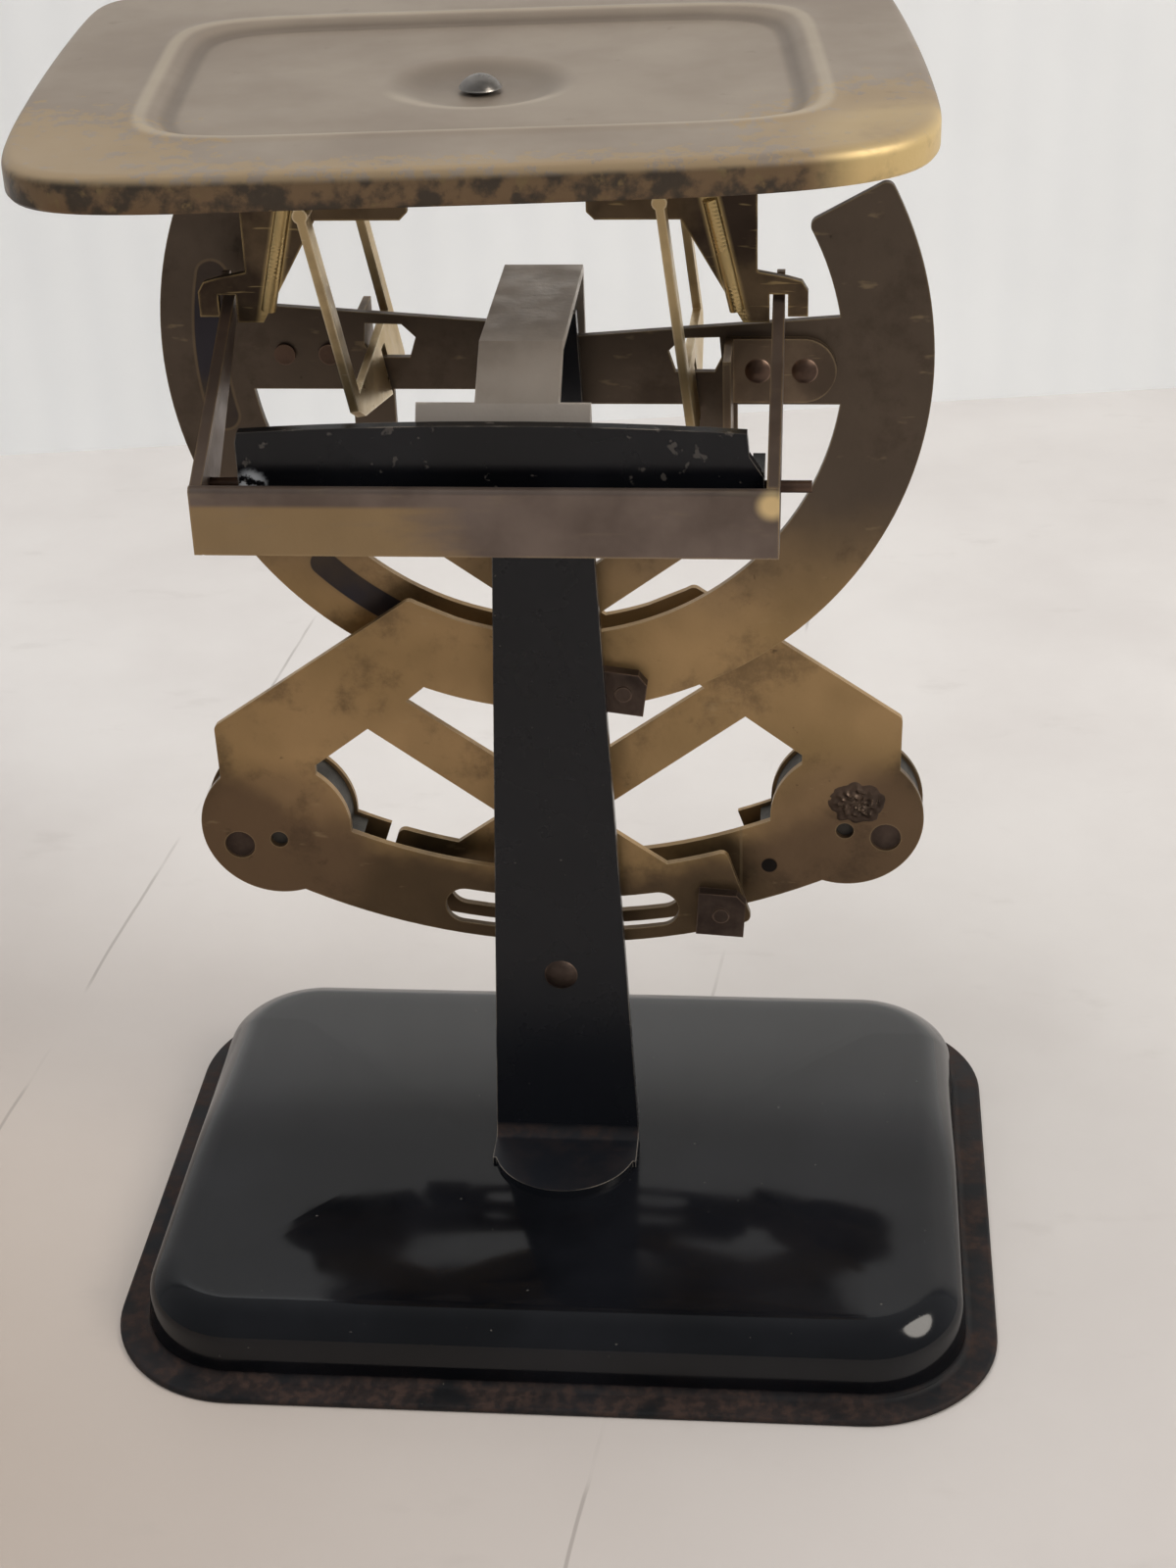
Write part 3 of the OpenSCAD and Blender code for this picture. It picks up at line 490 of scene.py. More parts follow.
@dataclass(frozen=True)
class SectorBrass(Finish):
    """Rolled brass sheet under old lacquer.

    The eye sees flat, hazy metal: olive brown at the top, tan below, darker at the lobe and the band, with
    cloudy stains, long scratches and small dark dots.
    """

    lobe_x: float
    lobe_z: float = 0.0475
    upper: str = "#5d5145"
    tans: tuple[str, str] = ("#b8986c", "#9c8158")
    band: str = "#44372a"
    lobe: str = "#7d654d"
    stain: str = "#3f3328"
    scratch: str = "#b9a27c"
    dot: str = "#2e251d"
    edge: str = "#b5a07a"
    metal: float = 0.7
    slots: bool = False
    slot_radius: float = 0.0349
    slot_spans: tuple[Pair, Pair] = ((-12, 13.4), (-78, -44.5))
    slot_halves: Pair = (0.0015, 0.0018)
    slot_shade: tuple[str, str] = ("#37343a", "#4a4038")
    slot_lip: str = "#8f7b5c"
    hole: str = "#17120e"
    hole_place: Pair = (0.0235, 0.04365)
    line: str = "#8d7a5c"
    line_x: float = 0.0203

    def back_marks(
        self, g: Graph, colour: Socket, relief: Socket, away: Socket, cloud: Socket,
    ) -> tuple[Socket, Socket]:
        """Draws painted shade in two arc slots and a small hole on the plate's back, and a painted highlight
        as a bright line across its band.

        Args:
            g: The material's nodes.
            colour: The plate's colour.
            relief: The plate's relief.
            away: Distance from the fulcrum.
            cloud: Broad noise.

        Returns:
            The new colour and relief.
        """
        arcs = []
        for half in self.slot_halves:
            pair = [g.arc_slot(self.slot_radius, half, *span) for span in self.slot_spans]
            back = g.beyond("Y", FAR_BACK + 0.0006, FAR_BACK + 0.0002)
            arcs.append(g.add(Kind.TIMES, g.add(Kind.MOST, *pair), back))
        inner, lip = arcs
        colour = g.tint(colour, lip, self.slot_lip, 0.3)
        # Painted shade: a dark fill stands for the shaded inside of two arc slots.
        deep = g.add(Kind.MIX, g.add(Kind.RISE, cloud, 0.4, 0.6), *(linear(code) for code in self.slot_shade))
        colour = g.add(Kind.MIX, inner, colour, deep)
        relief = g.add(Kind.LESS, relief, g.add(Kind.TIMES, inner, 2.0))
        # Painted shade in a small hole.
        hole = g.spot(*self.hole_place, 0.0010, 0.0002)
        # A painted highlight: a bright line stands for the lit edge of a step across the band.
        off = g.add(Kind.SIZE, g.add(Kind.LESS, g.axis("X"), self.line_x))
        line = g.add(Kind.RISE, off, 0.00022, 0.00008)
        line = g.add(Kind.TIMES, line, g.add(Kind.RISE, away, 0.0605, 0.0608))
        colour = g.tint(colour, line, self.line, 0.55)
        colour = g.tint(colour, hole, self.hole)
        return colour, g.add(Kind.LESS, relief, g.add(Kind.TIMES, hole, 2.0))

    def shade(self, g: Graph) -> Feeds:
        """Colour laid out by the height and by the distance from the fulcrum, with stains, scratches and dots.

        Args:
            g: The material's nodes.

        Returns:
            Shader inputs.
        """
        flat = g.add(Kind.SCALED, g.add(Kind.PLACE), (1, 0, 1))
        away = g.add(Kind.DISTANCE, flat, (FULCRUM[0], 0, FULCRUM[1]))
        cloud = g.grain(0.014, 4.0)
        drift = g.add(Kind.LESS, cloud, 0.5)
        height = g.add(Kind.ADD, g.axis("Z"), g.add(Kind.TIMES, drift, 0.012))
        tan = g.add(Kind.MIX, g.patches(0.022, 3.0, 0.35, 0.7), *(linear(code) for code in self.tans))
        colour = g.add(Kind.MIX, g.add(Kind.RISE, height, 0.073, 0.093), tan, linear(self.upper))
        band = g.add(Kind.RISE, g.add(Kind.ADD, away, g.add(Kind.TIMES, drift, 0.010)), 0.0590, 0.0635)
        colour = g.tint(colour, band, self.band, 0.85)
        colour = g.tint(colour, g.spot(self.lobe_x, self.lobe_z, 0.0125, 0.005), self.lobe, 0.6)
        colour = g.tint(colour, g.patches(0.008, 6.0, 0.50, 0.70, rough=0.65), self.stain, 0.5)
        scratch = g.patches(0.0013, 3.0, 0.64, 0.74, stretch=(0.25, 1.0, 0.7))
        colour = g.tint(colour, scratch, self.scratch, 0.28)
        larger = g.add(Kind.TIMES, g.patches(0.0032, 5.0, 0.66, 0.76), 0.7)
        dots = g.add(Kind.MOST, g.patches(0.0015, 2.0, 0.72, 0.79), larger)
        colour = g.tint(colour, dots, self.dot, 0.5)
        colour = g.tint(colour, g.add(Kind.TIMES, g.edges(0.0003), 0.5), self.edge)
        relief = g.grain(0.0014, 4.0)
        if self.slots:
            colour, relief = self.back_marks(g, colour, relief, away, cloud)
        normal = g.add(Kind.BUMP, Strength=0.15, Distance=0.0003, Height=relief)
        rough = g.patches(0.006, 4.0, 0.3, 0.7, 0.34, 0.5)
        return {"Base Color": colour, "Metallic": self.metal, "Roughness": rough, "Normal": normal}


@dataclass(frozen=True)
class GuideBrass(Finish):
    """Brass strip, cut and bent cold.

    The eye sees a purplish brown patina with a tan field at the left of the back bar, streaks along the
    strip, and a painted highlight, a reflection of the window, on one corner.
    """

    top: float = 0.102
    browns: tuple[str, str] = ("#7d6f66", "#685b53")
    field: str = "#a08762"
    streak: str = "#8f7f6a"
    edge: str = "#bda57e"
    glint: str = "#ecd09a"
    glint_place: Point = (0.0243, BASE_Y - 0.0225, 0.1011)
    metal: float = 0.7

    def shade(self, g: Graph) -> Feeds:
        """Patina laid out along the frame.

        Args:
            g: The material's nodes.

        Returns:
            Shader inputs.
        """
        cloud = g.patches(0.012, 4.0, 0.38, 0.66)
        colour = g.add(Kind.MIX, cloud, *(linear(code) for code in self.browns))
        drift = g.add(Kind.LESS, g.grain(0.009, 5.0, (0.5, 1, 2)), 0.5)
        across = g.add(Kind.ADD, g.axis("X"), g.add(Kind.TIMES, drift, 0.022))
        below = g.beyond("Z", self.top - 0.0010, self.top - 0.0016)
        tan = g.add(Kind.TIMES, g.add(Kind.RISE, across, -0.004, -0.012), below)
        tan = g.add(Kind.TIMES, tan, g.beyond("Y", BASE_Y - 0.0205, BASE_Y - 0.0215))
        colour = g.tint(colour, tan, self.field, 0.9)
        colour = g.tint(colour, g.patches(0.0016, 3.0, 0.6, 0.74, stretch=(0.2, 1, 1)), self.streak, 0.25)
        colour = g.tint(colour, g.rubbed(0.004, 0.3, 0.6, 0.2, 0.8), self.edge)
        # A painted highlight: a small warm spot on one corner stands for the window's reflection.
        colour = g.tint(colour, g.disc((1, 1, 1), self.glint_place, 0.0019, 0.0012), self.glint)
        normal = g.add(Kind.BUMP, Strength=0.15, Distance=0.0003, Height=g.grain(0.0013, 4.0))
        rough = g.patches(0.005, 4.0, 0.3, 0.7, 0.34, 0.48)
        return {"Base Color": colour, "Metallic": self.metal, "Roughness": rough, "Normal": normal}


@dataclass(frozen=True)
class PanBrass(Finish):
    """Stamped brass that carried letters for years.

    The eye sees an even grey brown patina, satin and slightly cloudy, flaked to tan along the rim, with a
    dark crusty skirt, painted shade and highlights at the recess's crease and the dimple, and a warm
    painted highlight on one corner.
    """

    browns: tuple[str, str] = ("#978a7b", "#8a7d70")
    flake: str = "#a08967"
    stain: str = "#54483d"
    crease: str = "#5b5047"
    crease_lit: str = "#c9bca6"
    dimple: str = "#5d5248"
    dimple_lit: str = "#d2c5b0"
    crusts: tuple[str, str] = ("#7a644b", "#4a4137")
    crust_light: str = "#7d6a4c"
    glint: str = "#dfc48c"
    metal: float = 0.6

    def near(self, g: Graph, x: float, y: float, radius: float, soft: float) -> Socket:
        """A round mask on the pan's face, seen from above."""
        return g.disc((1, 1, 0), (x, y, 0), radius, soft)

    def level(self, g: Graph, parts: Socket, power: float) -> Socket:
        """How far out a point is in a rounded rectangle.

        Args:
            g: The material's nodes.
            parts: X and Y as shares of the half sizes.
            power: How square the rectangle is.

        Returns:
            A socket that is 1 on the rectangle's edge.
        """
        ends = [g.add(Kind.SIZE, g.add(Kind.SPLIT, parts, out=name)) for name in ("X", "Y")]
        powers = [g.add(Kind.POWER, end, power) for end in ends]
        return g.add(Kind.POWER, g.add(Kind.ADD, *powers), 1 / power)

    def flaked(self, g: Graph, parts: Socket, reach: Socket) -> Socket:
        """Marks the flaked patina, most of it at the near corners, the front and the rim.

        Args:
            g: The material's nodes.
            parts: X and Y as shares of the half sizes.
            reach: 1 on the pan's edge.

        Returns:
            A socket that is 1 on flakes.
        """
        rim = g.add(Kind.ADD, reach, g.add(Kind.TIMES, g.add(Kind.LESS, g.grain(0.010, 4.0), 0.5), 0.45))
        left = self.near(g, -0.046, -0.030, 0.034, 0.026)
        right = self.near(g, 0.036, -0.016, 0.026, 0.02)
        front = g.add(Kind.RISE, g.add(Kind.SPLIT, parts, out="Y"), -0.74, -0.98)
        front = g.add(Kind.TIMES, front, 0.8)
        share = g.add(Kind.MOST, left, g.add(Kind.MOST, right, front))
        share = g.add(Kind.MOST, share, g.add(Kind.RISE, rim, 0.98, 1.1, 0.0, 0.5))
        limit = g.add(Kind.LESS, 0.72, g.add(Kind.TIMES, share, 0.34))
        return g.add(Kind.RISE, g.add(Kind.LESS, g.grain(0.0019, 6.0, rough=0.72), limit), -0.012, 0.02)

    def pressed(self, g: Graph, colour: Socket, turned: Socket) -> Socket:
        """Paints shade and highlights along the crease round the recess and on the dimple round the rivet.

        Args:
            g: The material's nodes.
            colour: The face's colour.
            turned: The place from the pan's middle, along its own sides.

        Returns:
            The shaded colour's socket.
        """
        mid_x, mid_y, half_x, half_y = PAN_RECESS
        sunk = g.add(Kind.FROM_POINT, turned, (mid_x, mid_y, 0))
        sunk = g.add(Kind.SCALED, sunk, (1 / half_x, 1 / half_y, 0))
        inside = g.add(Kind.TIMES, g.add(Kind.LESS, self.level(g, sunk, 7.0), 1.0), half_y)
        # Painted shade just inside the crease round the recess, and a painted highlight just outside it.
        lines = ((-0.0005, 0.0008, 0.5, self.crease), (0.0012, 0.0007, 0.35, self.crease_lit))
        for place, width, share, code in lines:
            off = g.add(Kind.SIZE, g.add(Kind.LESS, inside, place))
            colour = g.tint(colour, g.add(Kind.RISE, off, width, width * 0.2), code, share)
        pin_y = PAN_PIN[1]
        # Painted shade over the dimple, heavier on its far side, and a painted highlight on its near rim.
        far = g.add(Kind.ADD, g.add(Kind.TIMES, g.beyond("Y", pin_y - 0.006, pin_y + 0.004), 0.35), 0.15)
        dark = g.add(Kind.TIMES, self.near(g, *PAN_PIN, 0.0098, 0.003), far)
        colour = g.tint(colour, dark, self.dimple)
        ring = g.add(Kind.LESS, self.near(g, *PAN_PIN, 0.0102, 0.0012), self.near(g, *PAN_PIN, 0.0088, 0.004))
        lit = g.add(Kind.TIMES, ring, g.beyond("Y", pin_y - 0.002, pin_y - 0.007))
        return g.tint(colour, lit, self.dimple_lit, 0.3)

    def shade(self, g: Graph) -> Feeds:
        """Patina laid out over the pan, with painted shade and highlights.

        Args:
            g: The material's nodes.

        Returns:
            Shader inputs.
        """
        turned = g.add(Kind.FROM_POINT, g.add(Kind.PLACE), (*PAN_MIDDLE, 0))
        turned = g.add(Kind.TURNED, Vector=turned, Rotation=(0, 0, math.radians(-PAN_TURN)))
        parts = g.add(Kind.SCALED, turned, (1 / PAN_HALF[0], 1 / PAN_HALF[1], 0))
        reach = self.level(g, parts, 6.0)
        cloud = g.grain(0.020, 4.0)
        colour = g.add(Kind.MIX, g.add(Kind.RISE, cloud, 0.3, 0.75), *(linear(code) for code in self.browns))
        flakes = self.flaked(g, parts, reach)
        colour = g.tint(colour, flakes, self.flake, 0.75)
        colour = g.tint(colour, g.patches(0.0035, 5.0, 0.66, 0.74), self.stain, 0.2)
        colour = self.pressed(g, colour, turned)
        skirt = g.add(Kind.TIMES, g.beyond("Z", 0.13435, 0.13365), g.add(Kind.RISE, reach, 0.93, 0.96))
        crust = g.add(Kind.MIX, g.patches(0.0026, 6.0, 0.42, 0.6), *(linear(code) for code in self.crusts))
        crust = g.tint(crust, g.patches(0.0016, 3.0, 0.6, 0.72), self.crust_light)
        colour = g.add(Kind.MIX, skirt, colour, crust)
        # A painted highlight: a warm patch on the near right corner of the rim stands for the window's
        # reflection.
        glint = self.near(g, 0.0375, -0.0195, 0.0125, 0.006)
        glint = g.add(Kind.TIMES, glint, g.patches(0.004, 4.0, 0.30, 0.5, 0.5, 1.0))
        edge = g.add(Kind.RISE, g.axis("Z"), 0.1352, 0.1340, 0.15, 1.0)
        colour = g.tint(colour, g.add(Kind.TIMES, glint, edge), self.glint)
        crusty = g.add(Kind.TIMES, skirt, g.grain(0.0014, 5.0))
        relief = g.add(Kind.ADD, g.add(Kind.TIMES, flakes, -0.08), g.add(Kind.TIMES, crusty, 0.8))
        relief = g.add(Kind.ADD, relief, g.add(Kind.TIMES, g.grain(0.012, 2.0), 0.12))
        normal = g.add(Kind.BUMP, Strength=0.3, Distance=0.0003, Height=relief)
        rough = g.add(Kind.RISE, cloud, 0.3, 0.7, 0.42, 0.52)
        return {"Base Color": colour, "Metallic": self.metal, "Roughness": rough, "Normal": normal}


@dataclass(frozen=True)
class Ink(Finish):
    """Printing ink baked on brass: near-black and matt, with thin brown spots where it is worn."""

    dark: str = "#15110d"
    worn: str = "#4a3d2f"

    def shade(self, g: Graph) -> Feeds:
        """Dark with thin worn spots.

        Args:
            g: The material's nodes.

        Returns:
            Shader inputs.
        """
        spots = g.patches(0.0012, 4.0, 0.6, 0.75)
        colour = g.add(Kind.MIX, spots, linear(self.dark), linear(self.worn))
        return {"Base Color": colour, "Roughness": 0.55}


@dataclass(frozen=True)
class TablePaint(Finish):
    """White gloss paint gone matt on a table of boards.

    The eye sees a pale, soft surface with faint smudges and hairline cracks between the boards, greyer
    to the front by painted shade and browner at the left by a painted shadow.
    """

    whites: tuple[str, str] = ("#dad6d3", "#d0cbc8")
    front: str = "#b9b1ac"
    left: str = "#9f8d7d"
    smudge: str = "#a39b95"
    crack: str = "#7d756f"
    board: float = 0.085
    rough: float = 0.5

    def shade(self, g: Graph) -> Feeds:
        """Pale paint with smudges, darker to the front by painted shade, and a painted shadow at the left.

        Args:
            g: The material's nodes.

        Returns:
            Shader inputs.
        """
        colour = g.add(Kind.MIX, g.patches(0.05, 5.0, 0.3, 0.75), *(linear(code) for code in self.whites))
        # Painted shade: greyer towards the front.
        colour = g.tint(colour, g.beyond("Y", 0.09, -0.13), self.front, 0.85)
        # A painted shadow, warm and brown, to the left front of the scale.
        colour = g.tint(colour, g.disc((1, 1, 1), (-0.14, -0.06, 0.0), 0.20, 0.19), self.left, 0.9)
        colour = g.tint(colour, g.patches(0.012, 5.0, 0.6, 0.75, stretch=(0.6, 1.3, 1)), self.smudge, 0.18)
        turned = g.add(Kind.TURNED, Vector=g.add(Kind.PLACE), Rotation=(0, 0, 0.10), Location=(0.031, 0, 0))
        wander = g.add(Kind.TIMES, g.grain(0.03, 3.0), 0.0012)
        across = g.add(Kind.ADD, g.add(Kind.SPLIT, turned, out="X"), wander)
        share = g.add(Kind.FRACTION, g.add(Kind.PARTS, across, self.board))
        seam = g.add(Kind.RISE, g.add(Kind.SIZE, g.add(Kind.LESS, share, 0.5)), 0.0035, 0.0015)
        crack = g.add(Kind.TIMES, seam, g.patches(0.03, 2.0, 0.42, 0.55))
        colour = g.tint(colour, crack, self.crack, 0.45)
        normal = g.add(Kind.BUMP, Strength=0.1, Distance=0.0005, Height=g.grain(0.01, 4.0))
        return {"Base Color": colour, "Roughness": self.rough, "Normal": normal}


@dataclass(frozen=True)
class WallPaint(Finish):
    """Matt white paint on narrow upright boards: nearly even, with a faint shading from board to board.

    The camera sees through the wall's far side, so that views from behind show the object.
    """

    whites: tuple[str, str] = ("#fbfdfe", "#f5f7f8")
    ribs: float = 30.0
    rough: float = 0.6

    def shade(self, g: Graph) -> Feeds:
        """Two soft whites over upright ribs.

        Args:
            g: The material's nodes.

        Returns:
            Shader inputs.
        """
        colour = g.add(Kind.MIX, g.patches(0.08, 5.0, 0.3, 0.75), *(linear(code) for code in self.whites))
        # A wave's bands lie 0.314 / scale apart, here about 10 mm.
        wave = g.add(Kind.WAVE, g.add(Kind.PLACE), Scale=self.ribs, Distortion=0.3)
        normal = g.add(Kind.BUMP, Strength=0.25, Distance=0.001, Height=wave)
        seen = g.add(Kind.TIMES, g.add(Kind.SURFACE, out="Backfacing"), g.add(Kind.RAY, out="Is Camera Ray"))
        alpha = g.add(Kind.LESS, 1.0, seen)
        return {"Base Color": colour, "Roughness": self.rough, "Normal": normal, "Alpha": alpha}


class Workshop:
    """Turns vertex and face lists into finished pieces of the object."""

    def __init__(self) -> None:
        """Starts with no materials made."""
        self.made: dict[str, bpy.types.Material] = {}

    def material(self, finish: Finish) -> bpy.types.Material:
        """The material of a finish, built once.

        Args:
            finish: The finish.

        Returns:
            Its material.
        """
        if finish.name not in self.made:
            self.made[finish.name] = finish.material()
        return self.made[finish.name]

    def place(self, name: str, data: bpy.types.ID) -> Piece:
        """Puts an object at the origin of the scene.

        Args:
            name: The object's name.
            data: Its mesh or curve.

        Returns:
            The new object.
        """
        made = bpy.data.objects.new(name, data)
        bpy.context.scene.collection.objects.link(made)
        return made

    def fixed(self, maker: Piece) -> bpy.types.Mesh:
        """Turns what an object's modifiers or curve make into a plain mesh, and removes the object.

        Args:
            maker: The object.

        Returns:
            The plain mesh.
        """
        data = bpy.data.meshes.new_from_object(maker.evaluated_get(bpy.context.evaluated_depsgraph_get()))
        bpy.data.objects.remove(maker)
        return data

    def mesh(
        self, name: str, points: list[Point], faces: list[Face], finish: Finish, smooth: bool = True,
    ) -> Piece:
        """Makes an object at the origin with its faces turned outward.

        Args:
            name: The object's name.
            points: Vertices.
            faces: Vertex indices.
            finish: What it is made of.
            smooth: Smooth shading with sharp edges kept.

        Returns:
            The new object.
        """
        data = bpy.data.meshes.new(name)
        data.from_pydata([tuple(p) for p in points], [], faces)
        work = bmesh.new()
        work.from_mesh(data)
        bmesh.ops.remove_doubles(work, verts=work.verts, dist=1e-7)
        bmesh.ops.recalc_face_normals(work, faces=work.faces)
        work.to_mesh(data)
        work.free()
        data.materials.append(self.material(finish))
        made = self.place(name, data)
        if smooth:
            data.shade_smooth()
            data.set_sharp_from_angle(angle=math.radians(38))
        return made

    def keep(self, piece: Piece, body: Body, slot: str) -> Piece:
        """Hands a piece to the frame.

        Args:
            piece: The finished piece.
            body: The body that it rides on.
            slot: Not used.

        Returns:
            The same piece.
        """
        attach(piece, body.value)
        return piece


@dataclass
class Dressing:
    """Gives the frame's own nodes their finishes."""

    shop: Workshop

    def plan(self) -> dict[str, Finish]:
        """Which finish each node gets.

        Returns:
            Node name to finish.
        """
        # Rolled brass sheet under lacquer: flat and hazy. Only the far plate has marks on its back.
        near = SectorBrass("near_brass", lobe_x=-0.0322)
        far = SectorBrass("far_brass", lobe_x=0.0322, slots=True)
        # Enamel dulled by handling, on the column and the crosspiece: soft gloss, dark grey rather than black.
        post = Enamel("post_enamel", rust_low=0.0106, rust_high=0.0118, gloss=(0.24, 0.34), black="#17191e")
        cross = Enamel("cross_enamel", bare=True, gloss=(0.2, 0.32))
        # Bare steel that rusted evenly: small dull brown parts.
        rusty = Steel("rusty_steel", base="#5a4b42", dark="#352a24", bright="#8a7464", rough=0.5, metal=0.7)
        # Steel strip, smooth and oxidised: pale satin grey with a dark foot.
        grey = Steel(
            "bridge_steel", base="#d6ccc1", dark="#c0b6ab", bright="#e6ddd2", metal=0.35, darken_below=0.1072,
        )
        # Rivets and a pin of copper under a brown skin: reddish, with paler rims.
        copper = Steel("copper_tone", base="#6a5548", dark="#4a3b33", bright="#8f7767")
        # Cast lead: a dull dark grey, hardly brighter at its edges.
        lead = Steel("lead", base="#55524d", dark="#3d3a36", bright="#6a665f", rough=0.55, metal=0.6)
        # A headed steel rivet, rubbed by the letters: cool grey, and smoother than the rest.
        rivet = Steel("rivet_steel", base="#8b8783", dark="#5f5b57", bright="#b7b2ab", rough=0.34)
        guide = GuideBrass("guide_brass")
        # Stamped brass under the pan: dark, with a painted highlight along the ribs.
        yoke = OldBrass(
            "yoke_brass", base="#6b5a45", dark="#3c3128", bright="#d6bb82", dark_share=0.6, ribs=True,
        )
        # Stamped brass of the load brackets: a grey brown close to the pan's.
        bracket = OldBrass(
            "bracket_brass", base="#7d6c5a", dark="#5d5044", bright="#c4ae88", dark_share=0.45, edge_wear_and_sheen=0.7,
        )
        # Thin brass strip of the hangers, rubbed by use: pale yellow, with nearly white edges that are partly
        # worn and partly a painted highlight.
        link = OldBrass(
            "link_brass", base="#cbb285", dark="#8c7757", bright="#fff2d2", dark_share=0.45, edge_wear_and_sheen=1.0,
            rough=0.34,
        )
        plan = {
            "column": post, "crosspiece": cross, "bridge": grey, "guide_pin": copper,
            "index_rivet": rusty, "lower_index": rusty, "fulcrum_pin": rusty, "fulcrum_nut": rusty,
            "guide_frame": guide, "yoke": yoke, "pan_rivet": rivet, "left_hanger": link, "right_hanger": link,
        }
        for side, brass in (("near", near), ("far", far)):
            plan |= {f"{side}_plate": brass, f"{side}_cover": brass, f"{side}_bracket": bracket}
            plan |= {f"{side}_bush": yoke, f"{side}_weight": lead, f"{side}_rivet": rusty}
            plan |= {f"{side}_bracket_rivets": copper, f"{side}_nuts": rusty, f"{side}_bolts": rusty}
        return plan

    def build(self) -> None:
        """Assigns the materials."""
        plan = self.plan()
        for name, finish in plan.items():
            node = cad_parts[name]
            node.data.materials.clear()
            node.data.materials.append(self.shop.material(finish))
        LOG.info("dressed %d nodes", len(plan))


@dataclass
class Base:
    """The pressed base: a flat flange, an upright wall and a round shoulder, hollow underneath."""

    shop: Workshop
    half_w: float = 0.0498
    half_d: float = 0.0378
    corner: float = 0.015
    flange: float = 0.0035
    lean: float = 0.0004
    shoulder: float = 0.0044
    top: float = 0.0093
    fillet: float = 0.0009
    flat: float = 0.0275
    ripple: float = 0.00006
    flat_steps: int = 16
    corner_steps: int = 20
    bend_steps: int = 14
    crown: Point = (0.00045, 0.00045, 0.00085)
    crown_half: Pair = (0.042, 0.030)

    def lift(self, x: float, y: float, z: float) -> float:
        """How far the crowned top stands off a flat one.

        Args:
            x: From the base's middle.
            y: From the base's middle.
            z: Height on a flat-topped base.

        Returns:
            The lift, which is less than nothing near the edges.
        """
        middle, across, deep = self.crown
        whole = middle - across * (x / self.crown_half[0]) ** 2 - deep * (y / self.crown_half[1]) ** 2
        rise = self.top - self.shoulder
        return whole * soft_step((z - rise) / (self.top - SHEET - rise))

    def ring(self, inset: float, z: float) -> list[Vector]:
        """One outline of the base.

        Args:
            inset: Distance in from the flange's edge.
            z: Height.

        Returns:
            Points round the base.
        """
        radius = max(self.corner - inset, 0.001)
        made = []
        for k, (sx, sy) in enumerate(((1, 1), (-1, 1), (-1, -1), (1, -1))):
            mid_x = sx * (self.half_w - inset - radius)
            mid_y = sy * (self.half_d - inset - radius)
            for i in range(self.corner_steps + 1):
                angle = math.pi / 2 * (k + i / self.corner_steps)
                x, y = mid_x + radius * math.cos(angle), mid_y + radius * math.sin(angle)
                # The flange's rim is a little wavy.
                wave = self.ripple * math.sin(210 * x + 210 * y) if z < 0.001 else 0.0
                x_out, y_out = x * (1 - wave / 0.05), y * (1 - wave / 0.04) + BASE_Y
                made.append(Vector((x_out, y_out, z + self.lift(x, y, z))))
        return made

    def arc(self, mid: Pair, radius: float, start: float, end: float) -> list[Pair]:
        """Points of the profile along an arc.

        Args:
            mid: Inset and height of the middle.
            radius: Radius of the arc.
            start: First angle in degrees.
            end: Last angle in degrees.

        Returns:
            Pairs of inset and height.
        """
        n = self.bend_steps
        angles = [math.radians(start + (end - start) * i / n) for i in range(n + 1)]
        return [(mid[0] + radius * math.cos(a), mid[1] + radius * math.sin(a)) for a in angles]

    def build(self) -> Piece:
        """Makes the base.

        Returns:
            The base, riding on the stand.
        """
        rise = self.top - self.shoulder
        wall = self.flange + self.lean
        outer = self.arc((SHEET / 2, SHEET / 2), SHEET / 2, 270, 90)
        outer += self.arc((self.flange - self.fillet, SHEET + self.fillet), self.fillet, 270, 360)
        outer += self.arc((wall + self.shoulder, rise), self.shoulder, 180, 90)
        flat = [wall + self.shoulder + self.flat * i / self.flat_steps for i in range(1, self.flat_steps + 1)]
        outer += [(inset, self.top) for inset in flat]
        inner = [(inset, self.top - SHEET) for inset in reversed(flat)]
        inner += self.arc((wall + self.shoulder, rise), self.shoulder - SHEET, 90, 180)
        inner += self.arc((self.flange - self.fillet, SHEET + self.fillet), self.fillet + SHEET, 360, 270)
        rings = [self.ring(inset, z) for inset, z in outer + inner[:-1]]
        n = len(rings[0])
        points = [p for ring in rings for p in ring]
        # The innermost rings of the two skins aren't joined: each is closed by a face of its own.
        last = len(outer) - 1
        faces = [f for f in bands(len(rings), n, True) if not (f[0] // n == last and f[2] // n == last + 1)]
        cap = last * n
        faces += [tuple(cap + i for i in range(n)), tuple(cap + n + i for i in reversed(range(n)))]
        # Enamel stoved in one thick coat: a mirror on top, rusty only on the flange.
        finish = Enamel("base_enamel", rust_low=-0.001, rust_high=0.0014, rust_all=0.8, dome=0.15)
        piece = self.shop.mesh("base_pressing", points, faces, finish)
        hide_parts("base_shell")
        LOG.info("base built")
        return self.shop.keep(piece, Body.STAND, "enamel")


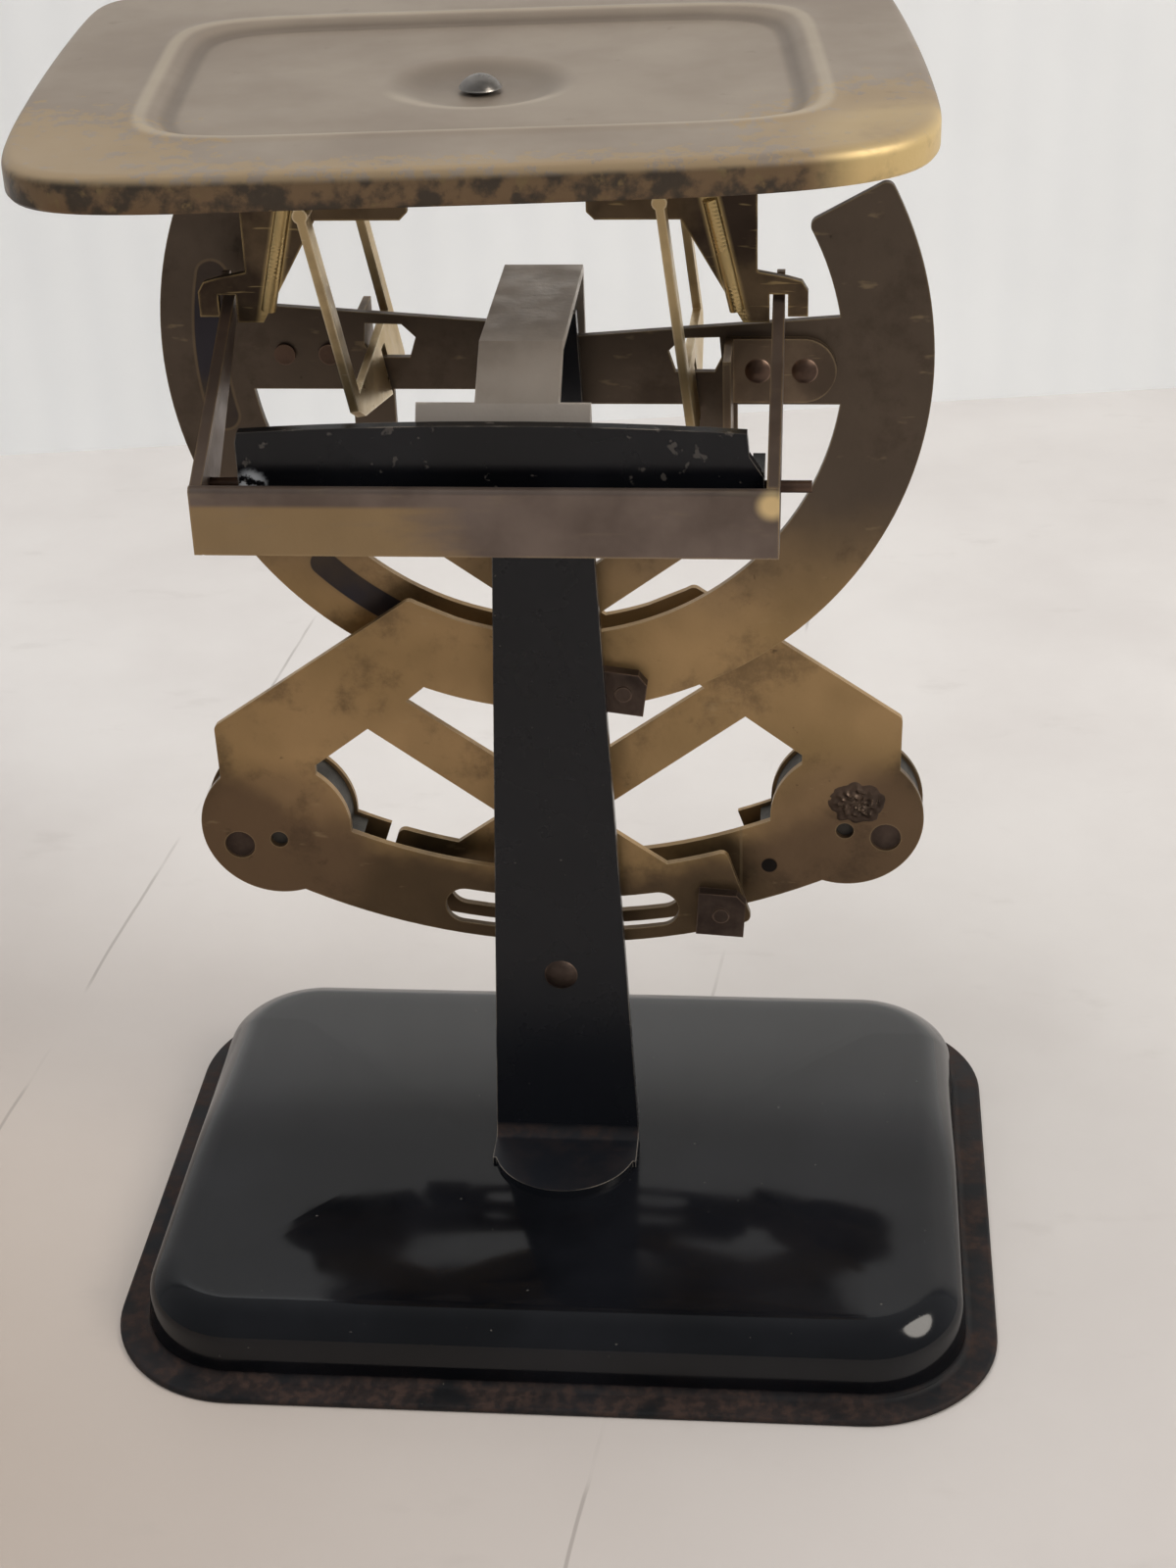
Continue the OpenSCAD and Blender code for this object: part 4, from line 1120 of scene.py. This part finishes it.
@dataclass
class Pan:
    """The letter pan: bowed sides, soft rim, recess and dimple."""

    shop: Workshop
    half_w: float = PAN_HALF[0]
    half_d: float = PAN_HALF[1]
    bow: float = 0.0013
    top: float = 0.1350
    thick: float = SHEET
    rim: float = 0.0035
    bend: float = 0.0012
    turn: float = math.radians(PAN_TURN)
    middle: Pair = PAN_MIDDLE
    recess: tuple[float, float, float, float] = PAN_RECESS
    recess_power: int = 7
    face_drop: float = 0.00020
    sink: float = 0.00095
    sink_width: float = 0.0015
    lip: float = 0.00022
    lip_place: float = 0.0014
    lip_width: float = 0.0007
    pin_from_middle: Pair = (PAN_PIN[0] - PAN_MIDDLE[0], PAN_PIN[1] - PAN_MIDDLE[1])
    dimple: float = 0.00100
    dimple_reach: float = 0.0096
    dimple_width: float = 0.0045
    corner_up: float = 0.00030
    corner_down: float = 0.00025
    far_power: float = 15.0
    right_power: float = 7.0
    left_power: float = 8.6
    around: int = 288
    face_steps: int = 115
    bend_steps: int = 8

    def power(self, angle: float) -> float:
        """How square the corner in a direction is.

        Args:
            angle: Direction from the middle.

        Returns:
            The outline's exponent, lower at the rounder near right corner.
        """
        if math.sin(angle) > 0:
            return self.far_power
        return self.right_power if math.cos(angle) > 0 else self.left_power

    def outline(self, angle: float, share: float, inset: float = 0.0) -> Pair:
        """A point of the pan's outline in its own turned axes.

        Args:
            angle: Direction from the middle.
            share: 1 on the outline and less inside it.
            inset: Shrinks the outline.

        Returns:
            X and Y from the pan's middle.
        """
        c, s = math.cos(angle), math.sin(angle)
        far = 0.03
        n = self.power(angle)
        # The bow depends on where the point lies, so the distance is found in a few rounds.
        for _ in range(4):
            a = self.half_w - inset - self.bow * (s * far / self.half_d) ** 2
            b = self.half_d - inset - self.bow * (c * far / self.half_w) ** 2
            far = (abs(c / a) ** n + abs(s / b) ** n) ** (-1.0 / n)
        return c * far * share, s * far * share

    def height(self, x: float, y: float) -> float:
        """Height of the top face at a point, without the rim's rounding.

        Args:
            x: From the pan's middle, turned.
            y: From the pan's middle, turned.

        Returns:
            The height.
        """
        mid_x, mid_y, half_x, half_y = self.recess
        n = self.recess_power
        level = (abs((x - mid_x) / half_x) ** n + abs((y - mid_y) / half_y) ** n) ** (1 / n)
        inside = (level - 1.0) * half_y
        sink = self.sink * soft_step(0.5 - inside / self.sink_width)
        lip = self.lip * math.exp(-(((inside - self.lip_place) / self.lip_width) ** 2))
        away = math.hypot(x - self.pin_from_middle[0], y - self.pin_from_middle[1])
        dimple = self.dimple * soft_step((self.dimple_reach - away) / self.dimple_width)
        # The near right corner is bent up a little and the near left one down.
        near = soft_step((-y - 0.012) / 0.020)
        corner = self.corner_up * near * soft_step((x - 0.020) / 0.022)
        droop = self.corner_down * near * soft_step((-x - 0.010) / 0.030)
        return self.top - self.face_drop - sink + lip - dimple + corner - droop

    def ring(self, share: float, inset: float, drop: float, own: bool = False) -> list[Vector]:
        """One ring of vertices.

        Args:
            share: 1 on the outline and less inside it.
            inset: Shrinks the outline.
            drop: Distance below the top face, or below the rim's top on the skirt.
            own: True if the height follows the top face at that point.

        Returns:
            Points round the pan.
        """
        made = []
        c, s = math.cos(self.turn), math.sin(self.turn)
        for i in range(self.around):
            angle = 2 * math.pi * i / self.around
            x, y = self.outline(angle, share, inset)
            base = self.height(x, y) if own else self.height(*self.outline(angle, 1.0, 0.001))
            across, deep = self.middle[0] + c * x - s * y, self.middle[1] + s * x + c * y
            made.append(Vector((across, deep, base - drop)))
        return made

    def build(self) -> Piece:
        """Makes the pan.

        Returns:
            The pan, riding on the load body.
        """
        top = [0.03, 0.06] + [0.06 + 0.94 * i / self.face_steps for i in range(1, self.face_steps)]
        rings = [self.ring(t, self.bend, 0.0, True) for t in top]
        for i in range(self.bend_steps + 1):
            a = math.pi / 2 * i / self.bend_steps
            rings.append(self.ring(1.0, self.bend * (1 - math.sin(a)), self.bend * (1 - math.cos(a))))
        # Down the skirt, round its lower edge and up inside.
        rings.append(self.ring(1.0, 0.0, self.rim - 0.0004))
        rings.append(self.ring(1.0, 0.0002, self.rim - 0.0001))
        rings.append(self.ring(1.0, self.thick, self.rim - 0.0001))
        rings.append(self.ring(1.0, self.thick, self.bend))
        rings.append(self.ring(1.0, self.bend, self.thick))
        rings += [self.ring(t, self.bend, self.thick, True) for t in reversed(top)]
        points = [p for ring in rings for p in ring]
        n = self.around
        faces = bands(len(rings), n, False)
        faces += [tuple(range(n)), tuple((len(rings) - 1) * n + i for i in reversed(range(n)))]
        piece = self.shop.mesh("pan_sheet", points, faces, PanBrass("pan_brass"))
        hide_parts("pan")
        LOG.info("pan built")
        return self.shop.keep(piece, Body.LOAD, "pan_brass")


@dataclass
class Solder:
    """The rough solder patch on the far lobe's back face."""

    shop: Workshop
    middle: Pair = (0.0333, 0.0521)
    reach: Pair = (0.0033, 0.0027)
    proud: float = 0.0006
    around: int = 72
    rings: int = 16

    def lumps(self, x: float, z: float) -> float:
        """How high the solder stands at a point.

        Args:
            x: Place in X.
            z: Place in Z.

        Returns:
            A share of its full height.
        """
        broad = turbulence.noise(Vector((x, z, 0.0)) * 1700)
        fine = turbulence.noise(Vector((z, x, 1.0)) * 3900)
        return max(0.04, 0.55 + 0.75 * broad + 0.3 * fine)

    def build(self) -> Piece:
        """Makes the patch.

        Returns:
            The patch, riding on the far sector.
        """
        points, n = [], self.around
        for k in range(1, self.rings + 1):
            share = k / self.rings
            for i in range(n):
                angle = 2 * math.pi * i / n
                c, s = math.cos(angle), math.sin(angle)
                ragged = 1.0 + 0.30 * turbulence.noise(Vector((2.1 * c, 2.1 * s, 4.0)))
                x = self.middle[0] + self.reach[0] * share * ragged * c
                z = self.middle[1] + self.reach[1] * share * ragged * s
                tall = self.proud * self.lumps(x, z) * (1 - share**3) - 0.00005 * share**6
                points.append((x, FAR_BACK - tall, z))
        points += [(x, FAR_BACK + 0.0001, z) for x, _, z in points[-n:]]
        faces = bands(self.rings + 1, n, False)
        faces += [tuple(range(n)), tuple(self.rings * n + i for i in reversed(range(n)))]
        # Tin solder gone brown: dark lumps with dull bright tops.
        finish = Steel("solder", base="#5b4a3e", dark="#33271f", bright="#a38d78", rough=0.5, metal=0.6)
        piece = self.shop.mesh("solder_patch", points, faces, finish)
        LOG.info("solder patch built")
        return self.shop.keep(piece, Body.FAR, "lead")


@dataclass(frozen=True)
class Arc:
    """One arc of graduations: radius, small divisions, degrees that they span, and share of full length."""

    radius: float
    count: int
    span: float
    share: float


@dataclass(frozen=True)
class Tick:
    """One size of tick: at every how many divisions it stands, and its full length and width."""

    every: int
    length: float
    width: float


@dataclass
class Dial:
    """Graduations and plain numbers on the front faces of the sectors."""

    shop: Workshop
    proud: float = 0.00004
    arcs: tuple[Arc, ...] = (Arc(0.0395, 50, 32.0, 1.0), Arc(0.0699, 20, 12.8, 0.42))
    ticks: tuple[Tick, ...] = (
        Tick(1, 0.0011, 0.00013), Tick(5, 0.0018, 0.00017), Tick(10, 0.0024, 0.0002),
    )
    number_radius: float = 0.0354
    number_height: float = 0.0021
    numbers: tuple[str, ...] = ("0", "10", "20", "30", "40", "50")
    ink: Finish = Ink("dial_ink")
    sockets: dict[str, str] = field(default_factory=dict)

    def tree(self) -> bpy.types.GeometryNodeTree:
        """Builds the node tree that makes a row of ticks along an arc.

        Returns:
            The tree; its inputs' identifiers are kept in sockets.
        """
        group = bpy.data.node_groups.new("tick_row", "GeometryNodeTree")
        kinds = {"Count": "NodeSocketInt", "Paint": "NodeSocketMaterial"}
        for name in ("Radius", "First", "Step", "Side", "Front", "Length", "Width", "Depth", "Count", "Paint"):
            kind = kinds.get(name, "NodeSocketFloat")
            made = group.interface.new_socket(name, in_out="INPUT", socket_type=kind)
            self.sockets[name] = made.identifier
        group.interface.new_socket("Ticks", in_out="OUTPUT", socket_type="NodeSocketGeometry")
        g = Graph(group)
        feed = group.nodes.new("NodeGroupInput").outputs
        turn = g.add(Kind.ADD, feed["First"], g.add(Kind.TIMES, g.add(Kind.NUMBER), feed["Step"]))
        x = g.add(Kind.TIMES, g.add(Kind.TIMES, g.add(Kind.SINE, turn), feed["Radius"]), feed["Side"])
        z = g.add(Kind.LESS, FULCRUM[1], g.add(Kind.TIMES, g.add(Kind.COSINE, turn), feed["Radius"]))
        dots = g.add(Kind.DOTS, feed["Count"], g.add(Kind.JOIN, x, feed["Front"], z))
        tick = g.add(Kind.TICK, g.add(Kind.JOIN, feed["Width"], feed["Depth"], feed["Length"]))
        lean = g.add(Kind.TIMES, g.add(Kind.TIMES, turn, feed["Side"]), -1.0)
        row = g.add(Kind.COPIES, Points=dots, Instance=tick, Rotation=g.add(Kind.JOIN, 0.0, lean))
        g.add(Kind.GROUP_END, g.add(Kind.PAINTED, Geometry=g.add(Kind.REAL, row), Material=feed["Paint"]))
        return group

    def row(self, group: bpy.types.GeometryNodeTree, name: str, **values: float) -> Piece:
        """Makes one row of ticks as a plain mesh.

        Args:
            group: The node tree.
            name: The piece's name.
            **values: The tree's inputs.

        Returns:
            The row's object.
        """
        carrier = self.shop.place(name + "_maker", bpy.data.meshes.new(name + "_maker"))
        maker = carrier.modifiers.new("ticks", "NODES")
        maker.node_group = group
        for key, value in values.items():
            maker[self.sockets[key]] = value
        maker[self.sockets["Paint"]] = self.shop.material(self.ink)
        bpy.context.view_layer.update()
        data = self.shop.fixed(carrier)
        data.name = name
        return self.shop.place(name, data)

    def number(self, text: str, turn: float, side: float, front: float) -> Piece:
        """One number, read from the front.

        Args:
            text: The digits.
            turn: Angle from straight down.
            side: Which way the angle runs.
            front: Y of the plate's front face.

        Returns:
            The number as a mesh.
        """
        curve = bpy.data.curves.new("n" + text, "FONT")
        curve.body, curve.size, curve.extrude = text, self.number_height, self.proud
        curve.align_x, curve.align_y = "CENTER", "CENTER"
        data = self.shop.fixed(self.shop.place("n" + text, curve))
        stand = Matrix(((-1, 0, 0), (0, 0, 1), (0, 1, 0))).to_4x4()
        lean = Matrix.Rotation(-turn * side, 4, "Y")
        away = self.number_radius
        middle = Vector((math.sin(turn) * side * away, front, FULCRUM[1] - math.cos(turn) * away))
        data.transform(Matrix.Translation(middle) @ lean @ stand)
        return self.shop.place("n" + text, data)

    def join(self, name: str, parts: list[Piece]) -> Piece:
        """Joins marks to one piece.

        Args:
            name: The piece's name.
            parts: The marks.

        Returns:
            The joined piece.
        """
        work = bmesh.new()
        for part in parts:
            work.from_mesh(part.data)
            bpy.data.objects.remove(part)
        data = bpy.data.meshes.new(name)
        bmesh.ops.remove_doubles(work, verts=work.verts, dist=1e-8)
        bmesh.ops.recalc_face_normals(work, faces=work.faces)
        for face in work.faces:
            face.material_index = 0
        work.to_mesh(data)
        work.free()
        data.materials.append(self.shop.material(self.ink))
        return self.shop.place(name, data)

    def build(self) -> None:
        """Makes the marks of both sectors."""
        group = self.tree()
        plates = (("near", Body.NEAR, 1.0, NEAR_BACK), ("far", Body.FAR, -1.0, FAR_BACK))
        for name, body, side, back in plates:
            front = back + SHEET + self.proud / 2
            parts = []
            for k, arc in enumerate(self.arcs):
                for j, tick in enumerate(self.ticks):
                    length = tick.length * arc.share
                    parts.append(self.row(
                        group, f"{name}_ticks_{k}{j}", Radius=arc.radius - length / 2, First=0.0,
                        Step=math.radians(arc.span / arc.count * tick.every), Side=side, Front=front,
                        Length=length, Width=tick.width, Depth=self.proud * (1 + 0.2 * j),
                        Count=arc.count // tick.every + 1,
                    ))
            for i, text in enumerate(self.numbers):
                turn = math.radians(self.arcs[0].span * i / (len(self.numbers) - 1))
                parts.append(self.number(text, turn, side, front))
            self.shop.keep(self.join(f"{name}_dial", parts), body, "dark_steel")
            LOG.info("%s dial built", name)


@dataclass(frozen=True)
class Lamp:
    """One round area light: where it stands and aims, diameter, watts, colour, and if gloss mirrors it."""

    name: str
    place: Point
    aim: Point
    size: float
    power: float
    colour: str
    shown: bool


@dataclass
class Studio:
    """Camera, lights, table and wall."""

    shop: Workshop
    focal: float = 2705.1
    frame_height: float = 1600.0
    sensor: float = 36.0
    eye: Point = (0.02956, -0.25173 + BASE_Y, 0.20290)
    right: Point = (0.9959, 0.0845, -0.0308)
    up: Point = (-0.0155, 0.4987, 0.8666)
    ahead: Point = (-0.0886, 0.8626, -0.498)
    reach: float = 1.2
    wall_ends: tuple[Point, Point] = ((-0.1346, 0.225, 0), (0.0996, 0.2628, 0))
    sky: tuple[str, str] = ("#a9abae", "#f2f3f3")
    sky_power: float = 0.6
    lamps: tuple[Lamp, ...] = (
        Lamp("window", (0.75, -0.35, 0.75), (0, 0, 0.06), 0.5, 5.5, "#fff8ee", True),
        Lamp("ceiling", (-0.3, -0.2, 1.1), (0, 0, 0), 0.9, 6.5, "#ffffff", False),
    )

    def camera(self) -> None:
        """Sets the camera that matches the photo."""
        data = bpy.data.cameras.new("photo_camera")
        data.lens = self.focal / self.frame_height * self.sensor
        data.sensor_width = self.sensor
        data.clip_start = 0.01
        data.clip_end = 10.0
        camera = self.shop.place("photo_camera", data)
        axes = Matrix([[self.right[i], self.up[i], -self.ahead[i]] for i in range(3)])
        camera.matrix_world = Matrix.Translation(self.eye) @ axes.to_quaternion().to_matrix().to_4x4()
        bpy.context.scene.camera = camera

    def light(self, lamp: Lamp) -> None:
        """Adds one area light.

        Args:
            lamp: What it is like.
        """
        data = bpy.data.lights.new(lamp.name, "AREA")
        data.shape = "DISK"
        data.size = lamp.size
        data.energy = lamp.power
        data.color = linear(lamp.colour)[:3]
        made = bpy.data.objects.new(lamp.name, data)
        made.location = lamp.place
        made.rotation_euler = (Vector(lamp.aim) - Vector(lamp.place)).to_track_quat("-Z", "Y").to_euler()
        made.visible_glossy = lamp.shown
        bpy.context.scene.collection.objects.link(made)

    def room(self) -> None:
        """Adds the table and the ribbed wall behind it."""
        r = self.reach
        quad = [(0, 1, 2, 3)]
        corners = [(-r, -r, 0), (r, -r, 0), (r, r, 0), (-r, r, 0)]
        table = self.shop.mesh("table", corners, quad, TablePaint("table_paint"), False)
        start, end = (Vector(place) for place in self.wall_ends)
        along = (end - start).normalized()
        a, b, tall = start - along * r, end + along * r, Vector((0, 0, r))
        wall = self.shop.mesh("wall", [a, b, b + tall, a + tall], quad, WallPaint("wall_paint"), False)
        # The side that the camera sees through faces away from the object.
        if wall.data.polygons[0].normal.y > 0:
            wall.data.flip_normals()

    def build(self) -> None:
        """Sets the whole stage up."""
        self.camera()
        self.room()
        world = bpy.data.worlds.new("day")
        world.use_nodes = True
        world.node_tree.nodes.clear()
        g = Graph(world.node_tree)
        # Dimmer behind the camera than ahead of it, so that gloss and metal mirror a lighter far side.
        ahead = g.add(Kind.SPLIT, g.add(Kind.PLACE, out="Generated"), out="Y")
        day = g.add(Kind.MIX, g.add(Kind.RISE, ahead, -0.7, 0.6), *(linear(code) for code in self.sky))
        g.add(Kind.WORLD, Surface=g.add(Kind.SKY, day, self.sky_power))
        bpy.context.scene.world = world
        for lamp in self.lamps:
            self.light(lamp)
        bpy.context.scene.view_settings.view_transform = "Standard"
        LOG.info("stage built")


def main() -> None:
    """Builds every piece in order."""
    shop = Workshop()
    Dressing(shop).build()
    Base(shop).build()
    Pan(shop).build()
    Solder(shop).build()
    Dial(shop).build()
    Studio(shop).build()


if __name__ == "__main__":
    logging.basicConfig(level=logging.INFO)
    main()
